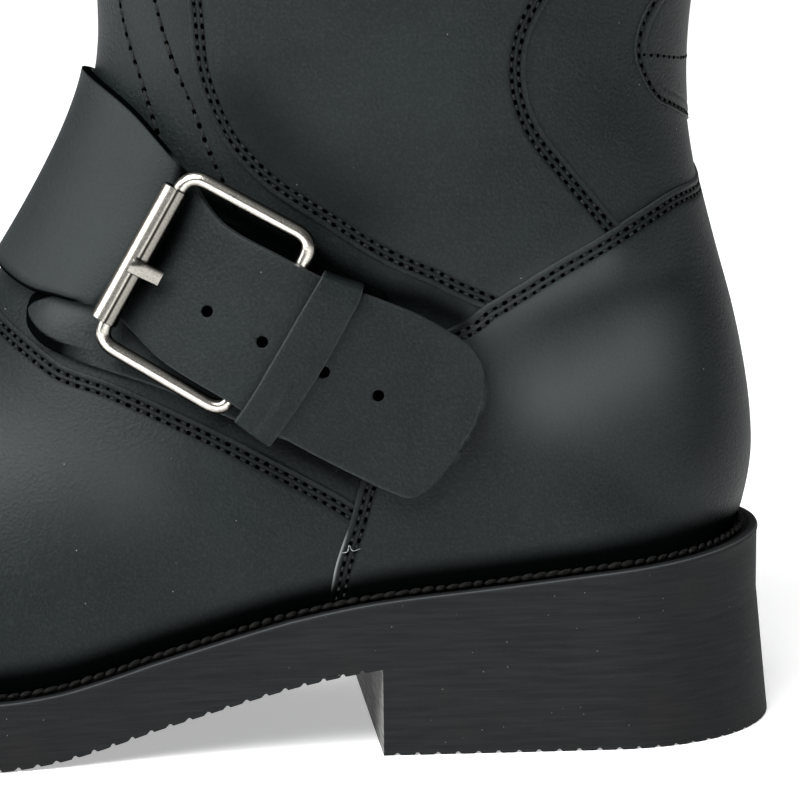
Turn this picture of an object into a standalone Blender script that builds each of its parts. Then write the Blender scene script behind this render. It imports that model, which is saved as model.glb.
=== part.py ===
"""Biker boot for the left foot: a welted leather boot with a buckled instep strap.

Sizes are millimetres in the boot's own frame: x runs from the back of the heel to the toe,
y to the outer side of the foot and z up from the floor.  Every piece hangs under one empty,
which puts the origin on the floor under the middle of the heel.
"""
import math

import bmesh
import bpy
import numpy as np

MM = 0.001
GAP = 0.3
MERGE = 0.001
HEEL_REST_X = 40.0

# Sole
OUTSOLE_THICK = 11.0
WELT_THICK = 3.1
WELT_RIM = 0.8
OUTSOLE_STEP = 0.4
TOP_LIFT_THICK = 10.0
HEEL_FLARE = 2.6
HEEL_BREAST_X = 84.5
HEEL_ROUND_X = 37.0
HEEL_ROUND_LENGTH = 35.0
TOE_ROUND_X = 235.0
TOE_ROUND_LENGTH = 70.0
TOE_FULLNESS = 2.15
INSOLE_THICK = 3.6

# Leather
WALL = 2.2
SEAT_INSET_HEEL = 5.4
SEAT_INSET_FORE = 6.5
PANEL_OUT = 1.3
COUNTER_OUT = 1.9
PATCH_OUT = 1.5
SEAM_GAP = 0.4
STRAP_THICK = 2.0
GUARD_THICK = 1.6
KEEPER_THICK = 1.4
KEEPER_WIDTH = 9.7
KEEPER_REACH = 1.05
KEEPER_WRAP = 0.06
KEEPER_CLEAR = 0.6

# Buckle
WIRE = 3.2
ROLLER = 5.8
ROLLER_LENGTH = 31.0
PRONG_WIDTH = 2.6
PRONG_THICK = 1.6
PRONG_CLEAR = 0.7
PRONG_SHIFT = 2.2
FRAME_CORNER = 4.2

SOLE_WIDTHS = (
    # x, half width
    (37, 37.0), (60, 37.3), (82, 37.0), (105, 35.8), (130, 36.8),
    (160, 42.2), (190, 48.8), (215, 52.2), (235, 53.0),
)
SOLE_CENTRE = (
    # x, y of the sole's centre line
    (0, 0.0), (37, 0.0), (82, 0.8), (105, 2.2), (130, 4.2), (160, 5.2),
    (190, 4.2), (215, 1.5), (235, -1.0), (270, -5.4), (305, -10.0),
)
SOLE_PROFILE = (
    # x, z of the outsole's underside
    (0, 26.5), (32, 23.2), (62, 19.9), (84.5, 17.5), (101, 14.4), (111, 11.9), (121, 9.2), (131, 6.5),
    (142, 3.4), (152, 1.2), (162, 0.2), (170, 0.0), (232, 0.0), (250, 1.0), (275, 4.6), (305, 12.0),
)
FOOT_SECTIONS = (
    # x on the sole, ridge x, ridge z, bulge beyond the seat, fullness above, fullness below, ridge y
    (298.5, 298.5, 24.0, 0.0, 2.20, 2.2, -9.0),
    (296.6, 297.0, 32.5, 1.0, 2.25, 2.2, -9.0),
    (291.5, 292.5, 40.0, 1.6, 2.30, 2.2, -8.8),
    (283.0, 285.0, 46.5, 2.0, 2.35, 2.2, -8.4),
    (270.0, 273.0, 51.0, 2.2, 2.35, 2.2, -7.8),
    (252.0, 256.0, 54.8, 2.2, 2.30, 2.2, -7.0),
    (229.0, 236.0, 57.8, 2.0, 2.20, 2.2, -6.2),
    (205.0, 217.0, 61.2, 2.0, 2.10, 2.2, -5.4),
    (180.0, 200.0, 65.8, 2.2, 2.05, 2.2, -4.6),
    (154.0, 185.0, 72.2, 3.4, 2.00, 2.2, -3.8),
    (127.0, 173.0, 81.0, 6.4, 2.00, 2.2, -3.0),
    (100.0, 164.1, 91.3, 7.2, 2.05, 2.2, -2.2),
    (76.0, 157.2, 102.2, 4.6, 2.10, 2.3, -1.5),
    (54.0, 151.4, 112.5, 3.8, 2.15, 2.4, -0.9),
    (35.0, 146.6, 122.0, 4.0, 2.20, 2.5, -0.5),
    (20.0, 143.3, 130.0, 9.7, 2.20, 2.6, -0.2),
    (10.5, 141.2, 136.3, 21.7, 2.20, 2.65, -0.1),
)
SHAFT_SECTIONS = (
    # back x, back z, front x, front z, half width, fullness in front, fullness behind
    (7.4, 41.0, 140.8, 139.6, 36.2, 2.2, 2.70),
    (4.8, 51.0, 140.4, 143.5, 36.8, 2.2, 2.70),
    (4.4, 60.0, 140.4, 147.5, 37.4, 2.2, 2.65),
    (5.6, 72.0, 140.5, 152.5, 38.2, 2.2, 2.60),
    (8.5, 86.5, 140.6, 158.5, 39.0, 2.2, 2.55),
    (12.6, 101.5, 140.8, 165.5, 40.0, 2.2, 2.45),
    (16.2, 116.0, 141.0, 173.5, 41.2, 2.2, 2.40),
    (18.3, 131.0, 141.2, 183.0, 42.5, 2.2, 2.30),
    (18.2, 146.0, 141.5, 193.5, 44.0, 2.2, 2.25),
    (16.0, 164.0, 142.0, 206.0, 45.8, 2.2, 2.20),
    (13.0, 187.0, 142.7, 221.5, 47.8, 2.2, 2.20),
    (10.0, 214.0, 143.5, 238.5, 49.6, 2.2, 2.20),
    (8.0, 242.0, 144.0, 254.5, 51.0, 2.2, 2.20),
    (7.0, 270.0, 144.5, 270.0, 52.0, 2.2, 2.20),
)

# Seams and straps as they show from the outer side
COUNTER_FRONT = (
    # x, z from the welt up to the counter's top edge
    (95.8, 32.0), (94.0, 40.0), (91.2, 48.6), (88.6, 58.0), (84.8, 68.5), (78.5, 80.0),
)
COUNTER_TOP = (
    # x, z from the counter's front edge to the back of the heel
    (71.0, 88.4), (61.0, 95.4), (54.4, 99.6), (43.0, 105.4), (35.6, 109.2), (26.0, 113.7),
    (20.0, 115.6), (14.0, 116.6), (-8.0, 118.0),
)
VAMP_TOP = (
    # x, z from the counter's front edge to the instep's ridge and past it
    (91.0, 52.8), (105.0, 60.9), (117.7, 67.6), (129.4, 73.1), (139.0, 77.2), (150.5, 81.2),
    (161.5, 88.0), (170.0, 95.0),
)
QUARTER_FRONT = (
    # x, z from the counter's top edge to the collar
    (58.0, 90.0), (64.0, 93.4), (74.0, 98.3), (86.0, 104.0), (95.0, 110.4), (109.0, 120.1), (115.0, 127.3),
    (120.0, 140.0), (121.8, 156.0), (122.6, 180.0), (124.0, 225.0), (125.0, 285.0),
)
QUARTER_REAR = (
    # x, z from the collar to the counter's top edge
    (33.0, 285.0), (33.0, 230.0), (36.0, 195.0), (41.5, 174.0), (47.5, 163.0), (51.4, 156.3), (54.6, 150.0),
    (55.8, 142.5), (54.9, 135.9), (52.0, 129.5), (47.2, 123.3), (41.8, 116.6), (35.8, 109.2), (30.0, 101.5),
)
PATCH_EDGE = (
    # x, z from the patch's lowest point round its front to its highest point
    (18.0, 128.2), (23.6, 131.8), (28.4, 137.1), (30.8, 143.6), (29.4, 150.2), (25.0, 155.8), (17.0, 159.6),
)
STRAP = (
    # side, upper edge x, z, lower edge x, z, height of the middle and of the edges above the upper
    (-1, 83.5, 86.8, 95.5, 60.6, 1.2, 1.2),
    (-1, 89.0, 92.0, 105.5, 65.5, 0.8, 0.8),
    (-1, 98.0, 99.5, 117.0, 73.0, 0.8, 0.8),
    (-1, 108.0, 107.0, 128.5, 81.0, 0.8, 0.8),
    (-1, 118.0, 115.0, 139.0, 87.5, 0.8, 0.8),
    (-1, 127.5, 124.5, 149.5, 92.0, 0.8, 0.8),
    (-1, 135.0, 132.3, 156.5, 95.0, 0.8, 0.8),
    (1, 140.8, 138.0, 160.8, 97.5, 0.8, 0.8),
    (1, 133.3, 134.7, 155.2, 94.0, 1.8, 2.0),
    (1, 126.5, 128.2, 147.5, 92.4, 3.4, 3.2),
    (1, 121.4, 120.4, 137.8, 90.2, 5.0, 3.6),
    (1, 114.5, 110.6, 128.8, 81.4, 7.2, 5.6),
    (1, 101.6, 104.0, 115.8, 73.6, 9.3, 8.2),
    (1, 93.5, 99.8, 108.6, 68.8, 7.6, 6.8),
    (1, 85.5, 96.4, 99.8, 63.8, 5.2, 4.6),
    (1, 77.7, 93.0, 91.0, 59.2, 3.8, 3.8),
    (1, 71.1, 89.2, 84.0, 55.8, 3.6, 3.6),
    (1, 66.4, 85.8, 78.8, 54.4, 3.6, 3.6),
    (1, 64.2, 82.0, 73.8, 57.8, 3.6, 3.6),
    (1, 64.4, 77.0, 69.0, 64.8, 3.6, 3.6),
)
GUARD = (
    # side, upper edge x, z, lower edge x, z, height of the middle and of the edges above the upper
    (1, 153.0, 92.6, 155.6, 88.6, 0.8, 0.8),
    (1, 149.6, 94.6, 153.6, 84.2, 0.8, 0.8),
    (1, 145.0, 97.0, 148.5, 82.0, 0.8, 0.8),
    (1, 137.0, 103.0, 140.0, 79.4, 0.8, 0.8),
    (1, 127.0, 111.5, 129.5, 76.2, 0.8, 0.8),
    (1, 116.0, 110.5, 118.5, 71.6, 0.8, 0.8),
    (1, 105.0, 106.0, 108.5, 67.4, 0.8, 0.8),
    (1, 95.0, 101.8, 100.5, 64.6, 0.8, 0.8),
    (1, 84.0, 96.6, 95.0, 62.4, 0.8, 0.8),
)
BUCKLE = (
    # x, z, height above the upper at the frame's corners, from the roller's upper end round
    (119.9, 121.4, 9.0), (97.4, 108.1, 5.4), (117.0, 71.5, 5.4), (140.5, 84.2, 9.0),
)
KEEPER_UPPER_AT = 13.165
KEEPER_LOWER_AT = 12.77
KEEPER_BOW = 0.55
PRONG_END = (10.28, 0.34)
PRONG_TURNS = (-35, -10, 15, 45, 70)

# How finely the pieces are divided
HEEL_STATIONS = 7
MIDDLE_STATIONS = 23
TOE_STATIONS = 8
SIDE_COLUMNS = 10
FOOT_ROWS = 22
SHAFT_ROWS = 11
ARC_SAMPLES = 49
EDGE_STEPS = 3
BAND_STEPS = 2
BAND_COLUMNS = 4
KEEPER_COLUMNS = 7
HEEL_SIDE_STATIONS = 4
WELT_LINE_STEP = 6.0
SHARP_ANGLE = 35
EASE_ROUNDS = 2

# Side-view places beyond the boot, where the cutters end
BEHIND_X = -8.0
AHEAD_X = 310.0
BESIDE_Y = 80.0
BELOW_Z = 20.0

# Search for the point of the upper that shows at a place
TOE_TIP_ROW = 0.2
PLACE_ROWS = 240
PLACE_COLUMNS = 60
PLACE_ROUNDS = 6
PLACE_SMALL = 0.01
PLACE_DAMPING = 0.5
ROW_STRIDE = 0.3
AROUND_STRIDE = 0.05
NORMAL_SMALL = 0.02


def columns(table):
    """The table's columns as arrays."""
    return np.array(table, float).T


def flowing(keys, values, at):
    """Smooth curve through the values at the keys, with averaged slopes."""
    slopes = np.gradient(values, keys)
    return hermite(keys, values, slopes, at)


def steady(keys, values, at):
    """Smooth curve through the values at the keys that never overshoots them."""
    rise = np.diff(values) / np.diff(keys)
    slopes = np.zeros(len(keys))
    same_way = rise[:-1] * rise[1:] > 0
    before = rise[:-1][same_way]
    after = rise[1:][same_way]
    slopes[1:-1][same_way] = 2 * before * after / (before + after)
    slopes[0] = rise[0]
    slopes[-1] = rise[-1]
    return hermite(keys, values, slopes, at)


def hermite(keys, values, slopes, at):
    """Cubic pieces between the keys."""
    at = np.clip(at, keys[0], keys[-1])
    piece = np.clip(np.searchsorted(keys, at) - 1, 0, len(keys) - 2)
    step = keys[piece + 1] - keys[piece]
    f = (at - keys[piece]) / step
    return (values[piece] * (1 + 2 * f) * (1 - f) ** 2
            + values[piece + 1] * f * f * (3 - 2 * f)
            + step * slopes[piece] * f * (1 - f) ** 2
            - step * slopes[piece + 1] * f * f * (1 - f))


def sole_under(x):
    """Height of the outsole's underside."""
    return steady(*columns(SOLE_PROFILE), x)


def sole_top(x):
    """Height of the welt's top, where the upper stands."""
    return sole_under(x) + OUTSOLE_THICK + GAP + WELT_THICK


def sole_centre(x):
    """The sole's centre line, which bends inwards at the toe."""
    return flowing(*columns(SOLE_CENTRE), x)


def sole_half(x, inset):
    """Half width of the sole's outline, moved in by the inset."""
    x = np.asarray(x, float)
    keys, widths = columns(SOLE_WIDTHS)
    half = flowing(keys, widths, x) - inset
    back = np.clip((HEEL_ROUND_X - x) / (HEEL_ROUND_LENGTH - inset), 0, 1)
    front = np.clip((x - TOE_ROUND_X) / (TOE_ROUND_LENGTH - inset), 0, 1)
    half = half * np.sqrt(1 - back ** 2)
    return half * (1 - front ** TOE_FULLNESS) ** (1 / TOE_FULLNESS)


def stations(inset, last_x=None):
    """Places along the sole, close together round the heel and round the toe."""
    turn = np.linspace(0, math.pi / 2, HEEL_STATIONS)
    heel = HEEL_ROUND_X - (HEEL_ROUND_LENGTH - inset) * np.cos(turn)
    if last_x is not None:
        return np.concatenate([heel, np.linspace(HEEL_ROUND_X, last_x, HEEL_SIDE_STATIONS)[1:]])
    middle = np.linspace(HEEL_ROUND_X, TOE_ROUND_X, MIDDLE_STATIONS)[1:-1]
    turn = np.linspace(0, math.pi / 2, TOE_STATIONS)
    toe = TOE_ROUND_X + (TOE_ROUND_LENGTH - inset) * np.sin(turn)
    return np.concatenate([heel, middle, toe])


def level(x, inset, z):
    """One level of a sole piece: a row of two points, outer and inner side, for each x."""
    half = sole_half(x, inset)
    centre = sole_centre(x)
    height = np.broadcast_to(z, x.shape)
    outer = np.stack([x, centre + half, height], axis=1)
    inner = np.stack([x, centre - half, height], axis=1)
    return np.stack([outer, inner], axis=1)


def loop(x, inset, z):
    """The same level as one closed line, up the outer side and back down the inner side."""
    rows = level(x, inset, z)
    return np.concatenate([rows[:, 0], rows[-2:0:-1, 1]])


def finish(name, colour, roughness, metallic=0.0):
    """Plain material in the piece's own colour."""
    material = bpy.data.materials.new(name)
    material.use_nodes = True
    shader = material.node_tree.nodes["Principled BSDF"]
    shader.inputs["Base Color"].default_value = (*colour, 1.0)
    shader.inputs["Roughness"].default_value = roughness
    shader.inputs["Metallic"].default_value = metallic
    return material


def solid(name, points, faces, material):
    """Mesh object from points in millimetres, closed, with its faces pointing out."""
    shape = bmesh.new()
    verts = [shape.verts.new(point * MM) for point in points]
    for face in faces:
        corners = list(dict.fromkeys(face))
        if len(corners) > 2:
            shape.faces.new([verts[i] for i in corners])
    bmesh.ops.remove_doubles(shape, verts=shape.verts, dist=MERGE * MM)
    bmesh.ops.dissolve_degenerate(shape, edges=shape.edges, dist=MERGE * MM)
    bmesh.ops.triangulate(shape, faces=shape.faces)
    bmesh.ops.recalc_face_normals(shape, faces=shape.faces)
    mesh = bpy.data.meshes.new(name)
    shape.to_mesh(mesh)
    shape.free()
    mesh.materials.append(material)
    mesh.shade_smooth()
    mesh.set_sharp_from_angle(angle=math.radians(SHARP_ANGLE))
    item = bpy.data.objects.new(name, mesh)
    item.parent = boot
    boot_parts.objects.link(item)
    return item


def stack(name, levels, material):
    """Solid through levels of paired points, lowest level first, closed at both ends."""
    count = len(levels[0])
    points = np.concatenate([rows.reshape(-1, 3) for rows in levels])

    def corner(tier, row, side):
        return (tier * count + row) * 2 + side

    faces = []
    top = len(levels) - 1
    for row in range(count - 1):
        for tier in (0, top):
            faces.append([corner(tier, row, 0), corner(tier, row + 1, 0),
                          corner(tier, row + 1, 1), corner(tier, row, 1)])
        for tier in range(top):
            for side in (0, 1):
                faces.append([corner(tier, row, side), corner(tier, row + 1, side),
                              corner(tier + 1, row + 1, side), corner(tier + 1, row, side)])
    for tier in range(top):
        for row in (0, count - 1):
            faces.append([corner(tier, row, 0), corner(tier, row, 1),
                          corner(tier + 1, row, 1), corner(tier + 1, row, 0)])
    return solid(name, points, faces, material)


def ring(name, loops, material):
    """Solid ring through closed lines, which follow each other round its section."""
    count = len(loops[0])
    points = np.concatenate(loops)
    faces = []
    for turn in range(len(loops)):
        here = turn * count
        there = (turn + 1) % len(loops) * count
        for i in range(count):
            j = (i + 1) % count
            faces.append([here + i, here + j, there + j, there + i])
    return solid(name, points, faces, material)


def seat_inset(x):
    """How far the upper stands in from the sole's edge."""
    share = np.clip((x - HEEL_BREAST_X) / (TOE_ROUND_X - HEEL_BREAST_X), 0, 1)
    return SEAT_INSET_HEEL + (SEAT_INSET_FORE - SEAT_INSET_HEEL) * share


def fan():
    """Sections of the upper in order, from the toe round the instep and up the shaft."""
    base_x, ridge_x, ridge_z, bulge, above, below, ridge_y = columns(FOOT_SECTIONS)
    base_z = sole_top(base_x) + GAP
    ridge_z = np.where(ridge_x == base_x, base_z, ridge_z)
    half = sole_half(base_x, seat_inset(base_x)) + bulge
    foot = np.stack([base_x, base_z, ridge_x, ridge_z, half, above, below, ridge_y])
    back_x, back_z, front_x, front_z, half, before, behind = columns(SHAFT_SECTIONS)
    back_z[0] = sole_top(back_x[0]) + GAP
    shaft = np.stack([back_x, back_z, front_x, front_z, half, before, behind, 0 * half])
    return np.concatenate([foot, shaft], axis=1)


SECTIONS = fan()
HEEL_ROW = len(FOOT_SECTIONS)
COLLAR_ROW = SECTIONS.shape[1] - 1


def skin(row, around):
    """Point of the upper's outer face.

    row counts along the sections from 0 at the toe to COLLAR_ROW; around runs from -1 at the
    inner side's seat over the ridge (0) to 1 at the outer side's seat.
    """
    row, around = np.broadcast_arrays(np.asarray(row, float), np.asarray(around, float))
    keys = np.arange(COLLAR_ROW + 1.0)
    base_x, base_z, ridge_x, ridge_z, half, above, below, ridge_y = (
        flowing(keys, values, row) for values in SECTIONS)
    seat = np.where(row < HEEL_ROW, sole_half(base_x, seat_inset(base_x)), 0.0)
    base_z = np.where(row < HEEL_ROW, sole_top(base_x) + GAP, base_z)
    seat_y = np.where(row < HEEL_ROW, sole_centre(base_x), 0.0)
    half = np.maximum(half, seat * 1.002 + 0.01)
    last = math.pi - np.arcsin((seat / half) ** (below / 2))
    lowest = np.abs(np.cos(last)) ** (2 / below)

    def half_section(angle, widest, above, below, lowest):
        power = 2 / np.where(angle < math.pi / 2, above, below)
        across = widest * np.abs(np.sin(angle)) ** power
        height = np.sign(np.cos(angle)) * np.abs(np.cos(angle)) ** power
        return across, (1 - height) / (1 + lowest)

    length = np.hypot(ridge_x - base_x, ridge_z - base_z)
    shape = (half, above, below, lowest)
    angles = last[..., None] * np.linspace(0, 1, ARC_SAMPLES)
    across, down = half_section(angles, *(value[..., None] for value in shape))
    steps = np.hypot(np.diff(across, axis=-1), np.diff(down, axis=-1) * length[..., None])
    travelled = np.concatenate([np.zeros(row.shape + (1,)), np.cumsum(steps, axis=-1)], axis=-1)
    wanted = np.abs(around) * travelled[..., -1]
    piece = np.clip((travelled < wanted[..., None]).sum(axis=-1) - 1, 0, ARC_SAMPLES - 2)
    before = np.take_along_axis(travelled, piece[..., None], -1)[..., 0]
    after = np.take_along_axis(travelled, piece[..., None] + 1, -1)[..., 0]
    part = (wanted - before) / np.maximum(after - before, 1e-9)
    angle = last * (piece + part) / (ARC_SAMPLES - 1)
    across, down = half_section(angle, *shape)
    x = ridge_x + (base_x - ridge_x) * down
    y = ridge_y + (seat_y - ridge_y) * down + np.sign(around) * across
    z = ridge_z + (base_z - ridge_z) * down
    return np.stack([x, y, z], axis=-1)


def skin_normal(row, around):
    """Direction out of the upper's outer face."""
    row, around = np.broadcast_arrays(np.asarray(row, float), np.asarray(around, float))
    row = np.clip(row, TOE_TIP_ROW, COLLAR_ROW)
    small = NORMAL_SMALL
    along = skin(np.clip(row + small, 0, COLLAR_ROW), around) - skin(row - small, around)
    over = skin(row, np.clip(around + small, -1, 1)) - skin(row, np.clip(around - small, -1, 1))
    normal = np.cross(over, along)
    on_back = (np.abs(around) > 1 - 1e-6) & (row >= HEEL_ROW)
    normal[..., 1] = np.where(on_back, 0.0, normal[..., 1])
    return normal / np.linalg.norm(normal, axis=-1, keepdims=True)


def offset_skin(row, around, out):
    """Point that lies the given distance out from the upper's outer face."""
    return skin(row, around) + skin_normal(row, around) * np.asarray(out)[..., None]


def row_list():
    """Rows of the upper's grid, closer together round the toe and round the heel."""
    foot = np.linspace(0, HEEL_ROW, FOOT_ROWS)
    shaft = np.linspace(HEEL_ROW, COLLAR_ROW, SHAFT_ROWS)
    return np.concatenate([foot, shaft[1:]])


def shell(name, inside, outside, material):
    """Hollow solid between two offsets of the upper's face, open at collar and seat.

    The rows beside the heel's corner are eased into each other, so no fold runs up from it.
    """
    rows = row_list()
    around = np.linspace(-1, 1, 2 * SIDE_COLUMNS + 1)
    grid_row, grid_around = np.meshgrid(rows, around, indexing="ij")
    sheets = []
    for out in (inside, outside):
        sheets.append(offset_skin(grid_row, grid_around, np.full(grid_row.shape, out)))
    closed = rows >= HEEL_ROW
    heel = FOOT_ROWS - 1
    for sheet in sheets:
        sheet[0] = sheet[0].mean(axis=0)
        back = (sheet[closed, 0] + sheet[closed, -1]) / 2
        sheet[closed, 0] = back
        sheet[closed, -1] = back
        for _ in range(EASE_ROUNDS):
            eased = (sheet[heel - 2:heel + 1] + 2 * sheet[heel - 1:heel + 2] + sheet[heel:heel + 3]) / 4
            sheet[heel - 1:heel + 2, 1:-1] = eased[:, 1:-1]
        sheet[..., 2] = np.maximum(sheet[..., 2], sole_top(sheet[..., 0]) + GAP)
    count = len(around)
    points = np.concatenate([sheet.reshape(-1, 3) for sheet in sheets])
    size = len(rows) * count

    def corner(sheet, i, j):
        return sheet * size + i * count + j

    faces = []
    for i in range(len(rows) - 1):
        for j in range(count - 1):
            for sheet in (0, 1):
                faces.append([corner(sheet, i, j), corner(sheet, i + 1, j),
                              corner(sheet, i + 1, j + 1), corner(sheet, i, j + 1)])
        if rows[i] < HEEL_ROW:
            for j in (0, count - 1):
                faces.append([corner(0, i, j), corner(0, i + 1, j),
                              corner(1, i + 1, j), corner(1, i, j)])
    top = len(rows) - 1
    for j in range(count - 1):
        faces.append([corner(0, top, j), corner(0, top, j + 1),
                      corner(1, top, j + 1), corner(1, top, j)])
    return solid(name, points, faces, material)


def spline(table):
    """The table's points with smooth steps between them."""
    points = np.array(table, float)
    keys = np.arange(len(points), dtype=float)
    at = np.linspace(0, len(points) - 1, EDGE_STEPS * (len(points) - 1) + 1)
    return np.stack([flowing(keys, column, at) for column in points.T], axis=1)


def prism(name, outline, low_y, high_y):
    """Cutter: a side-view outline drawn out across the boot."""
    shape = bmesh.new()
    corners = [shape.verts.new((x * MM, low_y * MM, z * MM)) for x, z in outline]
    face = shape.faces.new(corners)
    drawn = bmesh.ops.extrude_face_region(shape, geom=[face])
    moved = [part for part in drawn["geom"] if isinstance(part, bmesh.types.BMVert)]
    bmesh.ops.translate(shape, verts=moved, vec=(0, (high_y - low_y) * MM, 0))
    bmesh.ops.triangulate(shape, faces=shape.faces)
    bmesh.ops.recalc_face_normals(shape, faces=shape.faces)
    mesh = bpy.data.meshes.new(name)
    shape.to_mesh(mesh)
    shape.free()
    item = bpy.data.objects.new(name, mesh)
    item.parent = boot
    item.hide_render = True
    item.display_type = "WIRE"
    cutters.objects.link(item)
    return item


def overlay(name, outline, outside, low_y=-BESIDE_Y, high_y=BESIDE_Y, solver="EXACT"):
    """Panel that lies on the upper, cut to a side-view outline."""
    item = shell(name, GAP, outside, leather)
    cut = item.modifiers.new("outline", "BOOLEAN")
    cut.operation = "INTERSECT"
    cut.solver = solver
    cut.object = prism(name + "_outline", outline, low_y, high_y)
    return item


def welt_line(first_x, last_x):
    """Line just above the welt, for the lower edge of a panel."""
    x = np.linspace(first_x, last_x, 2 + int(abs(last_x - first_x) / WELT_LINE_STEP))
    return np.stack([x, sole_top(x) + SEAM_GAP], axis=1)


def place(x, z, side):
    """Row and around of the point that shows at x, z from one side of the boot."""
    rows, arounds = np.meshgrid(np.linspace(TOE_TIP_ROW, COLLAR_ROW, PLACE_ROWS),
                                np.linspace(0, 1, PLACE_COLUMNS))
    rows = rows.ravel()
    arounds = arounds.ravel() * side
    seen = skin(rows, arounds)
    far = (seen[:, 0] - x[:, None]) ** 2 + (seen[:, 2] - z[:, None]) ** 2
    nearest = far.argmin(axis=1)
    row = rows[nearest]
    around = arounds[nearest]
    small = PLACE_SMALL
    for _ in range(PLACE_ROUNDS):
        here = skin(row, around)
        miss = np.stack([x - here[:, 0], z - here[:, 2]], axis=1)
        by_row = (skin(row + small, around) - skin(row - small, around))[:, [0, 2]] / (2 * small)
        by_around = (skin(row, around + small) - skin(row, around - small))[:, [0, 2]] / (2 * small)
        slope = np.stack([by_row, by_around], axis=2)
        square = slope.transpose(0, 2, 1) @ slope + PLACE_DAMPING * np.eye(2)
        step = np.linalg.solve(square, slope.transpose(0, 2, 1) @ miss[:, :, None])[:, :, 0]
        row_step = np.clip(step[:, 0], -ROW_STRIDE, ROW_STRIDE)
        around_step = np.clip(step[:, 1], -AROUND_STRIDE, AROUND_STRIDE)
        row = np.clip(row + row_step, TOE_TIP_ROW, COLLAR_ROW)
        around = side * np.clip(side * (around + around_step), 0, 1)
    return row, around


def band_lines(table):
    """Both edges of a strap as row and around, and its height over the upper, line by line."""
    side, upper_x, upper_z, lower_x, lower_z, middle, edge = columns(table)
    upper = np.zeros((2, len(side)))
    lower = np.zeros((2, len(side)))
    for hand in (-1, 1):
        mine = side == hand
        if mine.any():
            upper[:, mine] = place(upper_x[mine], upper_z[mine], hand)
            lower[:, mine] = place(lower_x[mine], lower_z[mine], hand)
    return np.stack([*upper, *lower, middle, edge])


def band_point(lines, line, across, height):
    """Point of a strap: line counts along it, across runs from -1 to 1, height from its underside."""
    line, across = np.broadcast_arrays(np.asarray(line, float), np.asarray(across, float))
    keys = np.arange(lines.shape[1], dtype=float)
    upper_row, upper_around, lower_row, lower_around, middle, edge = (
        flowing(keys, values, line) for values in lines)
    share = (across + 1) / 2
    row = upper_row + (lower_row - upper_row) * share
    around = upper_around + (lower_around - upper_around) * share
    return offset_skin(row, around, middle + (edge - middle) * across ** 2 + height)


def sheet_solid(name, under, over, material):
    """Solid between two grids of points."""
    long, wide = under.shape[:2]
    points = np.concatenate([under.reshape(-1, 3), over.reshape(-1, 3)])
    size = long * wide
    faces = []
    for i in range(long - 1):
        for j in range(wide - 1):
            here = i * wide + j
            quad = [here, here + wide, here + wide + 1, here + 1]
            faces.append(quad)
            faces.append([corner + size for corner in quad])
    rim = [i * wide for i in range(long)]
    rim += [(long - 1) * wide + j for j in range(1, wide)]
    rim += [i * wide + wide - 1 for i in range(long - 2, -1, -1)]
    rim += list(range(wide - 2, 0, -1))
    for here, there in zip(rim, rim[1:] + rim[:1]):
        faces.append([here, there, there + size, here + size])
    return solid(name, points, faces, material)


def band(name, lines, thick, material):
    """Strap of even thickness that lies over the upper."""
    last = lines.shape[1] - 1
    line = np.linspace(0, last, BAND_STEPS * last + 1)[:, None]
    across = np.linspace(-1, 1, BAND_COLUMNS + 1)
    return sheet_solid(name, band_point(lines, line, across, 0.0),
                       band_point(lines, line, across, thick), material)


def keeper_line(across):
    """Line of the strap under the keeper's middle: straight from edge to edge, seen from the side."""
    share = (across + 1) / 2
    return KEEPER_UPPER_AT + (KEEPER_LOWER_AT - KEEPER_UPPER_AT) * share - KEEPER_BOW * (1 - across ** 2)


def round_corners(corners, radius, steps=4):
    """Closed line through the corners with each corner rounded."""
    line = []
    for before, corner, after in zip(np.roll(corners, 1, 0), corners, np.roll(corners, -1, 0)):
        start = corner + (before - corner) * radius / np.linalg.norm(before - corner)
        end = corner + (after - corner) * radius / np.linalg.norm(after - corner)
        for share in np.linspace(0, 1, steps + 1):
            first = start + (corner - start) * share
            second = corner + (end - corner) * share
            line.append(first + (second - first) * share)
    return np.array(line)


def wire_loop(name, line, thick, material):
    """Closed wire along a line, as a curve with a round bevel."""
    curve = bpy.data.curves.new(name, "CURVE")
    curve.dimensions = "3D"
    curve.bevel_depth = thick / 2 * MM
    curve.bevel_resolution = 2
    run = curve.splines.new("POLY")
    run.points.add(len(line) - 1)
    for point, place_mm in zip(run.points, line):
        point.co = (*(place_mm * MM), 1.0)
    run.use_cyclic_u = True
    curve.materials.append(material)
    item = bpy.data.objects.new(name, curve)
    item.parent = boot
    boot_parts.objects.link(item)
    return item


def circle(centre, axis, radius, sides=16):
    """Closed round line about an axis."""
    first = np.cross(axis, (0.0, 0.0, 1.0))
    first /= np.linalg.norm(first)
    second = np.cross(axis, first)
    turn = np.linspace(0, 2 * math.pi, sides, endpoint=False)[:, None]
    return centre + radius * (np.cos(turn) * first + np.sin(turn) * second)


for item in list(bpy.data.objects):
    bpy.data.objects.remove(item)

boot_parts = bpy.data.collections.new("biker_boot")
bpy.context.scene.collection.children.link(boot_parts)
cutters = bpy.data.collections.new("cutters")
bpy.context.scene.collection.children.link(cutters)
boot = bpy.data.objects.new("boot", None)
boot.location = (-HEEL_REST_X * MM, 0, 0)
boot_parts.objects.link(boot)

rubber = finish("sole rubber", (0.026, 0.027, 0.028), 0.7)
leather = finish("waxed leather", (0.03, 0.032, 0.033), 0.5)
steel = finish("antique nickel", (0.5, 0.48, 0.44), 0.35, 1.0)
board = finish("insole leather", (0.25, 0.2, 0.15), 0.8)

# Outsole, welt, heel and insole
whole = stations(0.0)
under_x = stations(OUTSOLE_STEP)
stack("outsole", [level(under_x, OUTSOLE_STEP, sole_under(under_x)),
                  level(under_x, OUTSOLE_STEP, sole_under(under_x) + OUTSOLE_THICK)], rubber)

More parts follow.
